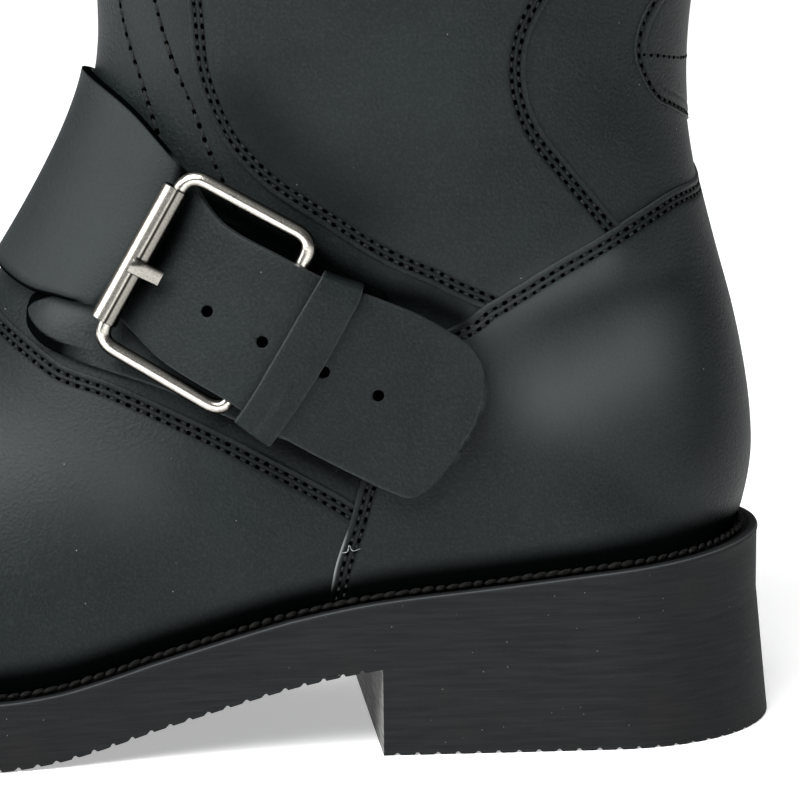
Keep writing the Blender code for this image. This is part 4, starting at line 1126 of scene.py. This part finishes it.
def settle(item):
    """Make what an object's modifiers give its own mesh."""
    baked = bpy.data.meshes.new_from_object(item.evaluated_get(bpy.context.evaluated_depsgraph_get()))
    item.modifiers.clear()
    item.data = baked


def beads_along(name, lines, pitch, size, material, turn=0.0, shift=0.0):
    """One mesh of beads along lines of points and outward directions, shifted by a share of the pitch."""
    edges = []
    first = 0
    for line, outward in lines:
        edges += [(spot, spot + 1) for spot in range(first, first + len(line) - 1)]
        first += len(line)
    mesh = bpy.data.meshes.new(name)
    mesh.from_pydata(in_frame(np.concatenate([line for line, outward in lines])).tolist(), edges, [])
    layer = mesh.attributes.new("outward", "FLOAT_VECTOR", "POINT")
    facing_out = np.concatenate([outward for line, outward in lines])
    layer.data.foreach_set("vector", np.asarray(facing_out, np.float32).ravel())
    item = placed(name, mesh)
    laid = item.modifiers.new("beads", "NODES")
    laid.node_group = beads
    values = {"Start": SEAM_START * MM, "Pitch": pitch * MM, "Size": tuple(value * MM for value in size),
              "Turn": turn, "Shift": shift * pitch / size[0], "Material": material}
    for socket in beads.interface.items_tree:
        if socket.name in values:
            laid[socket.identifier] = values[socket.name]
    settle(item)
    item.data.shade_smooth()
    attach(item, "root")


def laid_line(rows, arounds, out):
    """Points of a seam on the upper at a height, with the directions that face out of it."""
    return on_skin(rows, arounds, out), unit(sampled(skin_normals, rows, arounds))


def raised(lines, lift):
    """Lines moved out from the upper."""
    return [(line + lift * outward, outward) for line, outward in lines]


thread = dyed_thread("waxed black thread", "#0e1010", "#232626")
# Painted shade: black beads without shine stand in for the shaded needle holes, and the same black lines the
# strap's punched holes.
hole_shade = dyed_thread("dark needle holes", "#000000", "#010101", 0.0)
patch_at = place(*columns(PATCH_ROW), 1)
for hand in (1, -1):
    crossing = drawn(np.append(patch_at[0], patch_at[0][-1]), np.append(patch_at[1], 1.0) * hand, 60)
    stitch_rows.append((*crossing, PATCH_ROW_OUT))
panel_lines = []
for rows, arounds, out in stitch_rows:
    line, outward = laid_line(rows, arounds, out)
    below = line[:, 2] < SEAM_TOP
    if below.sum() > SHORTEST_ROW:
        panel_lines.append((line[below], outward[below]))
beads_along("needle_holes", raised(panel_lines, HOLE_LIFT), STITCH_PITCH, HOLE_SIZE, hole_shade)
beads_along("seam_thread", raised(panel_lines, THREAD_LIFT), STITCH_PITCH, THREAD_SIZE, thread,
            shift=0.5)
front_lines = []
for table in FRONT_LINES:
    for hand in (1, -1):
        front_lines.append(laid_line(*drawn(*place(*columns(table), hand), 400), 0.0))
beads_along("front_needle_holes", front_lines, FRONT_PITCH, FRONT_HOLE_SIZE, hole_shade)
beads_along("front_thread", raised(front_lines, FRONT_THREAD_LIFT), FRONT_PITCH, FRONT_THREAD_SIZE, thread,
            shift=0.5)

# Loose thread
# A short frayed end of pale thread that crosses the counter's front seam.
# It is much thinner than the seam's thread and lies on top of the leather.
LOOSE_THREAD = (
    # x, z along the thread
    (93.1, 42.4), (91.9, 42.6), (91.5, 43.9), (90.8, 42.8), (89.3, 43.1),
)
LOOSE_PITCH = 0.3
LOOSE_SIZE = (0.5, 0.2, 0.2)
LOOSE_OUT = COUNTER_OUT + 0.25
frayed = dyed_thread("frayed pale thread", "#6a6e6e", "#a2a5a5")
loose_line = laid_line(*drawn(*place(*columns(LOOSE_THREAD), 1), 40), LOOSE_OUT)
beads_along("loose_thread", [loose_line], LOOSE_PITCH, LOOSE_SIZE, frayed)

# Welt seam
# A heavy twisted black thread that lies in the welt's channel all round the boot.
# Each stitch shows as one slanted bead.
WELT_PITCH = 2.6
WELT_THREAD_SIZE = (3.7, 1.2, 1.4)
WELT_TWIST = 0.35
WELT_SEAM_INSET = WELT_CHANNEL + 1.7
WELT_SEAM_RISE = 0.5
SAME_SPOT = 0.05
welt_x = stations(WELT_SEAM_INSET)
seam_edge = edge_line(welt_x, WELT_SEAM_INSET, sole_top(welt_x) + WELT_SEAM_RISE)
seam_path = np.concatenate([seam_edge[:, 0], seam_edge[::-1, 1]])
keep = np.concatenate([[True], np.linalg.norm(np.diff(seam_path, axis=0), axis=1) > SAME_SPOT])
seam_path = seam_path[keep]
welt_thread = dyed_thread("twisted welt thread", "#020202", "#161513")
beads_along("welt_seam_thread", [(seam_path, np.tile((0.0, 0.0, 1.0), (len(seam_path), 1)))], WELT_PITCH,
            WELT_THREAD_SIZE, welt_thread, WELT_TWIST)

# Instep strap
# A single thickness of heavy leather that crosses the instep from the inner side, runs under the roller,
# over the buckle's rear bar and through the keeper, and ends in a rounded tail with punched holes.
STRAP_THICK = 2.0
STRAP_HALF_WIDTH = 18.0
STRAP = (
    # side, upper edge x and z, lower edge x and z, height over the upper in the middle and at the edges
    (-1, 83.5, 86.8, 95.5, 60.6, 1.2, 1.2),
    (-1, 89.0, 92.0, 105.5, 65.5, 0.8, 0.8),
    (-1, 98.0, 99.5, 117.0, 73.0, 0.8, 0.8),
    (-1, 108.0, 107.0, 128.5, 81.0, 0.8, 0.8),
    (-1, 118.0, 115.0, 139.0, 87.5, 0.8, 0.8),
    (-1, 127.5, 124.5, 149.5, 92.0, 0.8, 0.8),
    (-1, 135.0, 132.3, 156.5, 95.0, 0.8, 0.8),
    (1, 140.0, 137.2, 160.8, 97.5, 0.8, 0.8),
    (1, 133.0, 132.8, 155.2, 94.0, 1.8, 2.0),
    (1, 126.5, 126.2, 147.5, 92.4, 3.4, 3.2),
    (1, 121.4, 119.4, 137.8, 90.2, 5.0, 3.6),
    (1, 114.5, 110.6, 128.8, 81.4, 7.2, 5.6),
    (1, 101.6, 104.0, 115.8, 73.6, 9.3, 8.2),
    (1, 93.5, 99.8, 108.6, 68.8, 7.6, 6.8),
    (1, 85.5, 96.4, 99.8, 63.8, 5.2, 4.6),
    (1, 77.7, 93.0, 91.0, 59.2, 3.8, 3.8),
    (1, 71.1, 89.2, 84.0, 55.8, 3.6, 3.6),
    (1, 66.4, 85.8, 78.8, 54.4, 3.6, 3.6),
    (1, 64.2, 82.0, 73.8, 57.8, 3.6, 3.6),
    (1, 64.4, 77.0, 69.0, 64.8, 3.6, 3.6),
)
BAND_EDGE = 0.45
BAND_STEPS = 12
BAND_COLUMNS = 44
BAND_CUT_SHARE = 0.8
BAND_CUT_FADE = 0.012
BAND_CUT_PALE = 0.5
STRAP_CREASES = (
    # lift, width, then line along the strap and place across it
    (-0.1, 0.7, ((15.43, 0.05), (16.1, -0.12), (16.75, -0.30))),
    (0.1, 1.2, ((15.5, 0.20), (16.2, 0.02), (16.8, -0.16))),
)
# Lines along the strap and places across it where painted shade and a painted highlight change its tone
UNDER_ROLLER = (9.9, 0.32)
BEFORE_ROLLER = (9.6, 9.3)
BLACK_EDGE = (0.965, 0.985)
STRAP_BEND = (8.3, 1.2)
STRAP_BEND_HIGHLIGHT = 0.26


def band_lines(table):
    """Both edges of a strap as row and around, and its height over the upper, line by line."""
    side, upper_x, upper_z, lower_x, lower_z, middle, edge = columns(table)
    upper = np.zeros((2, len(side)))
    lower = np.zeros((2, len(side)))
    for hand in (-1, 1):
        mine = side == hand
        if mine.any():
            upper[:, mine] = place(upper_x[mine], upper_z[mine], hand)
            lower[:, mine] = place(lower_x[mine], lower_z[mine], hand)
    return np.stack([*upper, *lower, middle, edge])


def band_point(lines, line, across, height):
    """Point of a strap: line counts along it, across runs from -1 to 1, height from its underside."""
    line, across = np.broadcast_arrays(np.asarray(line, float), np.asarray(across, float))
    keys = np.arange(lines.shape[1], dtype=float)
    upper_row, upper_around, lower_row, lower_around, middle, edge = (
        flowing(keys, values, line) for values in lines)
    share = (across + 1) / 2
    row = upper_row + (lower_row - upper_row) * share
    around = upper_around + (lower_around - upper_around) * share
    return on_skin(row, around, middle + (edge - middle) * across ** 2 + height)


def rounded_profile(thick, half_width):
    """Closed section of a strap: across from -1 to 1 and height, with its edges rounded."""
    turn = np.linspace(0, math.pi / 2, 5)
    inward = BAND_EDGE / half_width
    flat = np.linspace(-1 + inward, 1 - inward, BAND_COLUMNS)[1:-1]
    right = 1 - inward + inward * np.concatenate([np.sin(turn), np.cos(turn)])
    rise = np.concatenate([BAND_EDGE * (1 - np.cos(turn)), thick - BAND_EDGE * (1 - np.sin(turn))])
    across = np.concatenate([flat, right, flat[::-1], -right[::-1]])
    height = np.concatenate([0 * flat, rise, 0 * flat + thick, rise[::-1]])
    return across, height


def loop_faces(rings, count):
    """Faces of a ring-shaped body through closed rings of points."""
    return [(i * count + j, i * count + (j + 1) % count, (i + 1) % rings * count + (j + 1) % count,
             (i + 1) % rings * count + j) for i in range(rings) for j in range(count)]


def tube_faces(rings, count):
    """Faces of a closed tube through rings of points, with its two ends."""
    ends = [tuple(range(count)), tuple(range((rings - 1) * count, rings * count))]
    return loop_faces(rings, count)[:-count] + ends


def band(name, lines, thick, half_width, node, creases, shade, sheen):
    """Strap of even thickness over the upper with rounded, raw edges and creases in its face.

    The shade function gives its painted shade and black cut edges, and the other its painted highlights, at
    each line and place across it.
    """
    last = lines.shape[1] - 1
    line = np.linspace(0, last, BAND_STEPS * last + 1)[:, None]
    across, height = rounded_profile(thick, half_width)
    points = band_point(lines, line, across, height)
    for rise, width, spots in creases:
        crease = band_point(lines, *columns(spots), thick)
        height = height + rise * bell(nearest_distance(points, crease), width)
        points = band_point(lines, line, across, height)
    start = 1 - BAND_EDGE / half_width * BAND_CUT_SHARE
    edge = np.clip((np.abs(across) - start) / BAND_CUT_FADE, 0, 1)
    cut = np.broadcast_to(edge, points.shape[:2]).copy()
    cut[[0, -1]] = 1.0
    marks = {"cut_edge": cut * BAND_CUT_PALE, "shade_and_black_edge": shade(line, across), "painted_sheen": sheen(line, across)}
    return piece(name, points.reshape(-1, 3), tube_faces(*points.shape[:2]), [leather], [node], "leather",
                 attributes={key: np.broadcast_to(values, cut.shape) for key, values in marks.items()})


def strap_shade(line, across):
    """Painted shadow: the strap is black under the roller, and painted shade darkens its edges before it."""
    middle, length = UNDER_ROLLER
    edges = ramped(np.abs(across), *BLACK_EDGE) * ramped(line, *BEFORE_ROLLER)
    return np.maximum(np.exp(-((line - middle) / length) ** 4), edges)


def strap_highlight(line, across):
    """Painted highlight: the strap is paler where it bends over the instep, over its whole width."""
    middle, length = STRAP_BEND
    return STRAP_BEND_HIGHLIGHT * np.exp(-((line - middle) / length) ** 4)


strap_lines = band_lines(STRAP)
strap = band("strap_leather", strap_lines, STRAP_THICK, STRAP_HALF_WIDTH, "instep_strap", STRAP_CREASES,
             strap_shade, strap_highlight)

# Round holes punched in the tail for the prong
STRAP_HOLE = 2.4
HOLE_FLOOR = 0.25
HOLE_TOP = STRAP_THICK + 1.5
HOLE_SIDES = 24
STRAP_HOLES = (
    # line along the strap, place across it
    (11.09, 0.23), (11.82, 0.25), (13.13, 0.25), (14.27, 0.28),
)
punch = bmesh.new()
for line, across in STRAP_HOLES:
    low = in_frame(band_point(strap_lines, line, across, HOLE_FLOOR))
    high = in_frame(band_point(strap_lines, line, across, HOLE_TOP))
    axis = Vector(high - low)
    stand = Matrix.Translation(Vector((low + high) / 2)) @ axis.to_track_quat("Z", "Y").to_matrix().to_4x4()
    bmesh.ops.create_cone(punch, cap_ends=True, segments=HOLE_SIDES, radius1=STRAP_HOLE / 2 * MM,
                          radius2=STRAP_HOLE / 2 * MM, depth=axis.length, matrix=stand)
punch_mesh = bpy.data.meshes.new("punch")
punch.to_mesh(punch_mesh)
punch.free()
# Painted shade: the punched holes' walls take the black of the needle holes.
punch_mesh.materials.append(hole_shade)
puncher = placed("punch", punch_mesh)
cut = strap.modifiers.new("holes", "BOOLEAN")
cut.operation = "DIFFERENCE"
cut.object = puncher
cut.material_mode = "TRANSFER"
settle(strap)
bpy.data.objects.remove(puncher)

# Buckle guard
# A rounded leather flap between the vamp's top edge and the strap, under the buckle.
# Its raised end shows in front of the buckle, with a black cut rim.
GUARD_THICK = 1.6
GUARD_HALF_WIDTH = 17.0
GUARD = (
    # side, upper edge x and z, lower edge x and z, height over the upper in the middle and at the edges
    (1, 154.8, 90.6, 155.1, 89.2, 0.8, 0.8),
    (1, 153.6, 92.9, 155.0, 86.6, 0.8, 0.8),
    (1, 150.2, 94.6, 152.9, 83.9, 0.8, 0.8),
    (1, 145.0, 97.0, 148.5, 82.0, 0.8, 0.8),
    (1, 137.0, 103.0, 140.0, 79.4, 0.8, 0.8),
    (1, 127.0, 111.5, 129.5, 76.2, 0.8, 0.8),
    (1, 116.0, 110.5, 118.5, 71.6, 0.8, 0.8),
    (1, 105.0, 106.0, 108.5, 67.4, 0.8, 0.8),
    (1, 95.0, 101.8, 100.5, 64.6, 0.8, 0.8),
    (1, 84.0, 96.6, 95.0, 62.4, 0.8, 0.8),
)
GUARD_CREASES = (
    # lift, width, then line along the guard and place across it
    (0.8, 4.5, ((2.2, 0.0), (3.0, 0.1))),
    (-0.5, 2.2, ((3.75, 0.45), (3.9, 0.75))),
)
GUARD_END = (
    # line along the guard, half width of its rounded end
    (0, 0.8), (1, 3.3), (2, 5.6), (3, 7.8),
)
# Distances from the edge, lines along the guard and places across it where its tone changes:
# the black cut rim, the painted shade under the buckle and the painted highlight on the raised end
GUARD_RIM = (2.3, 2.0)
GUARD_RIM_LINES = (3.7, 2.9)
GUARD_COVERED_LINES = (3.6, 4.8)
GUARD_COVERED_ACROSS = (0.55, 0.25)
GUARD_BULGE_LINES = (2.6, 0.9)
GUARD_BULGE_ACROSS = 0.6
GUARD_BULGE_HIGHLIGHT = 0.4


def guard_shade(line, across):
    """The guard's cut end is black, and painted shade darkens the part under the buckle and the strap."""
    from_edge = np.interp(line, *columns(GUARD_END)) * (1 - np.abs(across))
    rim = ramped(from_edge, *GUARD_RIM) * ramped(line, *GUARD_RIM_LINES)
    covered = ramped(line, *GUARD_COVERED_LINES) * ramped(across, *GUARD_COVERED_ACROSS)
    return np.maximum(rim, covered)


def guard_highlight(line, across):
    """The guard's raised end catches the light."""
    middle, length = GUARD_BULGE_LINES
    return GUARD_BULGE_HIGHLIGHT * bell(line - middle, length) * bell(across, GUARD_BULGE_ACROSS)


band("guard_leather", band_lines(GUARD), GUARD_THICK, GUARD_HALF_WIDTH, "buckle_guard", GUARD_CREASES,
     guard_shade, guard_highlight)

# Keeper
# A narrow leather loop round the strap that holds its tail down.
# It is one layer of the same leather, with raw cut edges and a soft fold across its lower end.
KEEPER_THICK = 1.4
KEEPER_WIDTH = 9.7
KEEPER_UPPER_AT = 13.165
KEEPER_LOWER_AT = 12.77
KEEPER_BOW = 0.37
KEEPER_REACH = 1.04
KEEPER_WRAP = 0.06
KEEPER_CLEAR = 0.35
KEEPER_ROUND = 0.4
KEEPER_BEVEL = 0.1
KEEPER_FACE_LINES = 14
KEEPER_COLUMNS = 60
KEEPER_CUT_PALE = 0.6
KEEPER_FOLD = 0.7
KEEPER_FOLD_AT = (0.25, 0.6)
KEEPER_FOLD_SLANT = 0.35
KEEPER_FOLD_WIDE = 0.2
KEEPER_FOLD_ACROSS = (0.45, 0.75)


def keeper_line(across):
    """Line of the strap under the keeper's middle: straight from edge to edge, seen from the side."""
    share = (across + 1) / 2
    return KEEPER_UPPER_AT + (KEEPER_LOWER_AT - KEEPER_UPPER_AT) * share - KEEPER_BOW * (1 - across ** 2)


line_ends = band_point(strap_lines, keeper_line(0.0) + np.array([-0.5, 0.5]), 0.0, 0.0)
half_index = KEEPER_WIDTH / 2 / np.linalg.norm(line_ends[1] - line_ends[0])
inset = KEEPER_ROUND / (KEEPER_WIDTH / 2)
side = [(1, KEEPER_ROUND), (1, KEEPER_THICK - KEEPER_ROUND), (1 - inset * 0.3, KEEPER_THICK - KEEPER_BEVEL)]
section = [(-1 + inset, 0.0)] + [(-along, grow) for along, grow in side]
section += [(along, KEEPER_THICK) for along in np.linspace(-1 + inset, 1 - inset, KEEPER_FACE_LINES)]
section += side[::-1] + [(1 - inset, 0.0)]
keeper_rings = []
for along, grow in section:
    reach = KEEPER_REACH + KEEPER_WRAP * grow
    across = np.linspace(-reach, reach, KEEPER_COLUMNS)
    line = keeper_line(across) + along * half_index
    aside = along - KEEPER_FOLD_AT[0] - KEEPER_FOLD_SLANT * (across - KEEPER_FOLD_AT[1])
    fold = KEEPER_FOLD * bell(aside, KEEPER_FOLD_WIDE) * ramped(across, *KEEPER_FOLD_ACROSS)
    outer_face = grow > KEEPER_THICK - KEEPER_ROUND
    over = band_point(strap_lines, line, across, STRAP_THICK + KEEPER_CLEAR + grow + fold * outer_face)
    under = band_point(strap_lines, line, across, -KEEPER_CLEAR - grow)
    keeper_rings.append(np.concatenate([over, under[::-1]]))
keeper_rings = np.array(keeper_rings)
keeper_cut = [KEEPER_CUT_PALE * (abs(along) > 1 - inset * 0.5) for along, grow in section]
piece("keeper_leather", keeper_rings.reshape(-1, 3), loop_faces(*keeper_rings.shape[:2]), [leather],
      ["strap_keeper"], "leather", attributes={"cut_edge": np.repeat(keeper_cut, keeper_rings.shape[1])})

# Buckle
# A bent wire frame with a rolled sheet roller on its front bar and a flat prong bent round the roller,
# plated in antique nickel with fine pits; painted shade darkens it outside a bright band of painted
# reflection, and inside the roller's open ends.
WIRE = 3.2
FRAME_CORNER = 4.2
ROLLER = 5.8
ROLLER_LENGTH = 31.0
ROLLER_WALL = 0.45
ROLLER_SLACK = 0.7
ROLLER_SHARP = 40
ROLLER_SECTION = (
    # share of the length from the middle, radius
    (-0.5, ROLLER / 2 - ROLLER_WALL), (-0.5, ROLLER / 2 - 0.2), (-0.494, ROLLER / 2),
    (0.494, ROLLER / 2), (0.5, ROLLER / 2 - 0.2), (0.5, ROLLER / 2 - ROLLER_WALL),
)
ROLLER_PAINTED_SHADE = (
    # angle round the roller from its outer side towards the frame's middle, share of painted shade:
    # a bright band of painted reflection, the dark line of the sheet's seam, then painted shade
    (-180, 1.0), (-90, 0.9), (-62, 0.5), (-50, 0.0), (0, 0.0), (5, 1.0), (12, 1.0), (18, 0.7), (40, 0.8),
    (50, 1.0), (180, 1.0),
)
WIRE_SIDES = 20
WIRE_PAINTED_SHADE = 0.9
WIRE_SHADE_FROM = (0.94, 0.54)
WIRE_LIT_TILT = (0.2, 0.0, 0.32)
PRONG_WIDTH = 3.3
PRONG_THICK = 1.3
PRONG_SHIFT = 2.2
PRONG_TURNS = (-8, 28)
PRONG_REACH = 4.6
PRONG_CLEAR = 0.2
PRONG_STEPS = 16
PRONG_SHARP = 50
PRONG_EASE = 0.3 / PRONG_WIDTH
PRONG_SECTION = (
    # place across in widths, height in thicknesses, share of painted shade, darkest on the underside and
    # lower sides
    (-0.5 + PRONG_EASE, 0.0, 1.0), (0.5 - PRONG_EASE, 0.0, 1.0), (0.5, 0.2, 1.0), (0.5, 0.8, 0.9),
    (0.5 - PRONG_EASE, 1.0, 0.6), (-0.5 + PRONG_EASE, 1.0, 0.6), (-0.5, 0.8, 0.9), (-0.5, 0.2, 1.0),
)
BUCKLE = (
    # x, z, height over the upper of the frame's corners
    (119.9, 121.4, 9.0), (97.4, 108.1, 5.4), (117.0, 71.5, 5.4), (140.5, 84.2, 9.0),
)


def plated_metal(name, bright, dark, shade_tone):
    """Antique nickel plate: polished faces with fine pits and a random darker patina, with painted shade from
    an attribute where it should mirror dark surroundings.
    """
    material, tree, shader, place = surface(name)
    pits = add(tree, "ShaderNodeTexNoise", {"Vector": place, "Scale": per_metre(0.3), "Detail": 3.0,
                                            "Roughness": 0.6})
    patina = add(tree, "ShaderNodeMapRange", {"Value": pits.outputs[0], "From Min": 0.48, "From Max": 0.8})
    metal_painted_shade = add(tree, "ShaderNodeAttribute", attribute_name="metal_painted_shade")
    tone = colour(bright)
    for share, code in ((patina.outputs[0], dark), (metal_painted_shade.outputs["Fac"], shade_tone)):
        tone = add(tree, "ShaderNodeMix", {0: share, 6: tone, 7: colour(code)}, data_type="RGBA").outputs[2]
    rough = add(tree, "ShaderNodeMapRange", {"Value": pits.outputs[0], "To Min": 0.1, "To Max": 0.36})
    bump = add(tree, "ShaderNodeBump", {"Height": pits.outputs[0], "Strength": 0.2, "Distance": 0.05 * MM})
    feed(tree, shader, {"Base Color": tone, "Roughness": rough.outputs[0], "Metallic": 1.0,
                        "Normal": bump.outputs[0]})
    return material


nickel = plated_metal("antique nickel", "#ebe7de", "#8f8676", "#191510")


def round_corners(corners, radius, steps=8):
    """Closed line through the corners with each corner rounded."""
    line = []
    for before, corner, after in zip(np.roll(corners, 1, 0), corners, np.roll(corners, -1, 0)):
        start = corner + (before - corner) * radius / np.linalg.norm(before - corner)
        end = corner + (after - corner) * radius / np.linalg.norm(after - corner)
        for share in np.linspace(0, 1, steps + 1):
            first = start + (corner - start) * share
            second = corner + (end - corner) * share
            line.append(first + (second - first) * share)
    return np.array(line)


def circle(centre, axis, radius, sides=96):
    """Closed round line about an axis."""
    first = unit(np.cross(axis, (0.0, 0.0, 1.0)))
    second = np.cross(axis, first)
    turn = np.linspace(0, 2 * math.pi, sides, endpoint=False)[:, None]
    return centre + radius * (np.cos(turn) * first + np.sin(turn) * second)


corner_x, corner_z, corner_height = columns(BUCKLE)
frame_corners = on_skin(*place(corner_x, corner_z, 1), corner_height)
frame_line = round_corners(frame_corners, FRAME_CORNER)
frame_up = unit(np.cross(frame_corners[2] - frame_corners[0], frame_corners[3] - frame_corners[1]))
frame_up = frame_up * np.sign(frame_up[1])
tangent = unit(np.roll(frame_line, -1, 0) - np.roll(frame_line, 1, 0))
sideways = unit(np.cross(tangent, frame_up))
upright = np.cross(sideways, tangent)
turn = np.linspace(0, 2 * math.pi, WIRE_SIDES, endpoint=False)
wire_rings = frame_line[:, None] + WIRE / 2 * (np.cos(turn)[:, None] * sideways[:, None]
                                               + np.sin(turn)[:, None] * upright[:, None])
# Painted reflection: the wire stays bright only on a band that faces up and towards the light, and painted
# shade darkens the rest.
painted_highlight = unit(frame_up + WIRE_LIT_TILT)
wire_facing = unit(wire_rings - frame_line[:, None]) @ painted_highlight
piece("frame_wire", wire_rings.reshape(-1, 3), loop_faces(*wire_rings.shape[:2]), [nickel], ["buckle_frame"],
      "buckle_metal", attributes={"metal_painted_shade": WIRE_PAINTED_SHADE * ramped(wire_facing, *WIRE_SHADE_FROM)})

roller_mid = (frame_corners[0] + frame_corners[3]) / 2
roller_axis = unit(frame_corners[3] - frame_corners[0])
frame_mid = frame_corners.mean(axis=0)
roller_up = unit(np.cross(roller_axis, frame_mid - roller_mid))
roller_up = roller_up * np.sign(roller_up[1])
frame_back = np.cross(roller_axis, roller_up)
frame_back = frame_back * np.sign(frame_back @ (frame_mid - roller_mid))
roller_mid = roller_mid - ROLLER_SLACK * frame_back
tube_rings = np.array([circle(roller_mid + roller_axis * ROLLER_LENGTH * end, roller_axis, radius)
                       for end, radius in ROLLER_SECTION])
# Painted reflection and shade round the roller, and painted shade inside its open ends.
tube_facing = tube_rings - tube_rings.mean(axis=1, keepdims=True)
tube_turn = np.degrees(np.arctan2(tube_facing @ frame_back, tube_facing @ roller_up))
tube_painted_shade = np.interp(tube_turn, *columns(ROLLER_PAINTED_SHADE))
tube_painted_shade[[0, -1]] = 1.0
piece("roller_tube", tube_rings.reshape(-1, 3), loop_faces(*tube_rings.shape[:2]), [nickel],
      ["buckle_roller"], "buckle_metal", sharp=ROLLER_SHARP, attributes={"metal_painted_shade": tube_painted_shade})

turn = np.radians(np.linspace(*PRONG_TURNS, PRONG_STEPS))[:, None]
outward = np.cos(turn) * roller_up + np.sin(turn) * frame_back
onward = PRONG_REACH * (np.cos(turn[-1]) * frame_back - np.sin(turn[-1]) * roller_up)
outward = np.concatenate([outward, outward[-1:]])
prong_root = roller_mid + PRONG_SHIFT * roller_axis + np.concatenate([np.zeros((PRONG_STEPS, 3)), [onward]])
prong_low = prong_root + (ROLLER / 2 + PRONG_CLEAR) * outward
prong_rings = np.stack([prong_low + roller_axis * PRONG_WIDTH * share + PRONG_THICK * rise * outward
                        for share, rise, metal_painted_shade in PRONG_SECTION], axis=1)
# Painted shade on the prong, darker underneath.
prong_painted_shade = np.tile(columns(PRONG_SECTION)[2], len(prong_rings))
piece("prong_bar", prong_rings.reshape(-1, 3), tube_faces(*prong_rings.shape[:2]), [nickel], ["buckle_prong"],
      "buckle_metal", sharp=PRONG_SHARP, attributes={"metal_painted_shade": prong_painted_shade})

# Studio
# White floor and backdrop, broad soft light from the upper left and front, as in a catalogue picture.
# The camera stands at the photograph's angle, close in on the heel and the buckle.
CAMERA_AZIMUTH = 175.0
CAMERA_ELEVATION = 11.0
CAMERA_DISTANCE = 1.3
CAMERA_TARGET = (81.0 - HEEL_REST_X, 38.0, 74.2)
VIEW_WIDTH = 800 / 4.9
SENSOR_WIDTH = 36.0
FLOOR_HALF = 4.0
FLOOR_GLOW = 0.42

floor_shape = bmesh.new()
bmesh.ops.create_grid(floor_shape, x_segments=1, y_segments=1, size=FLOOR_HALF)
floor_mesh = bpy.data.meshes.new("floor")
floor_shape.to_mesh(floor_mesh)
floor_shape.free()
floor = placed("floor", floor_mesh)
paper = bpy.data.materials.new("white paper floor")
paper.use_nodes = True
feed(paper.node_tree, paper.node_tree.nodes["Principled BSDF"], {
    "Base Color": colour("#fbfbfb"), "Roughness": 0.9,
    "Emission Color": (1.0, 1.0, 1.0, 1.0), "Emission Strength": FLOOR_GLOW})
floor_mesh.materials.append(paper)


def aim(azimuth, elevation):
    """Direction from the boot towards a place round it."""
    a = math.radians(azimuth)
    e = math.radians(elevation)
    return Vector((math.sin(a) * math.cos(e), -math.cos(a) * math.cos(e), math.sin(e)))


middle = Vector(CAMERA_TARGET) * MM
for name, azimuth, elevation, away, size, power in (
        # name, azimuth, elevation, distance, size in metres, watts
        ("key", 146, 50, 1.5, 1.1, 40.0),
        ("front", 98, 22, 1.4, 1.0, 8.0),
        ("back", 350, 60, 1.8, 1.6, 9.0)):
    lamp = bpy.data.lights.new(name, "AREA")
    lamp.shape = "SQUARE"
    lamp.size = size
    lamp.energy = power
    light = placed(name, lamp)
    light.location = middle + aim(azimuth, elevation) * away
    light.rotation_euler = (-aim(azimuth, elevation)).to_track_quat("-Z", "Y").to_euler()

world = bpy.data.worlds.new("white studio")
world.use_nodes = True
sky = world.node_tree.nodes["Background"]
around = add(world.node_tree, "ShaderNodeTexCoord").outputs["Generated"]
towards = add(world.node_tree, "ShaderNodeSeparateXYZ", {"Vector": around}).outputs["Y"]
fade = add(world.node_tree, "ShaderNodeMapRange", {"Value": towards, "From Min": -0.3, "From Max": 0.7,
                                                   "To Min": 0.16, "To Max": 0.05})
feed(world.node_tree, sky, {"Color": (1.0, 1.0, 1.0, 1.0), "Strength": fade.outputs[0]})
bpy.context.scene.world = world
bpy.context.scene.view_settings.view_transform = "Standard"

lens = bpy.data.cameras.new("camera")
lens.sensor_width = SENSOR_WIDTH
lens.lens = SENSOR_WIDTH * CAMERA_DISTANCE / (VIEW_WIDTH * MM)
camera = placed("camera", lens)
camera.location = middle + aim(CAMERA_AZIMUTH, CAMERA_ELEVATION) * CAMERA_DISTANCE
camera.rotation_euler = (-aim(CAMERA_AZIMUTH, CAMERA_ELEVATION)).to_track_quat("-Z", "Y").to_euler()
bpy.context.scene.camera = camera
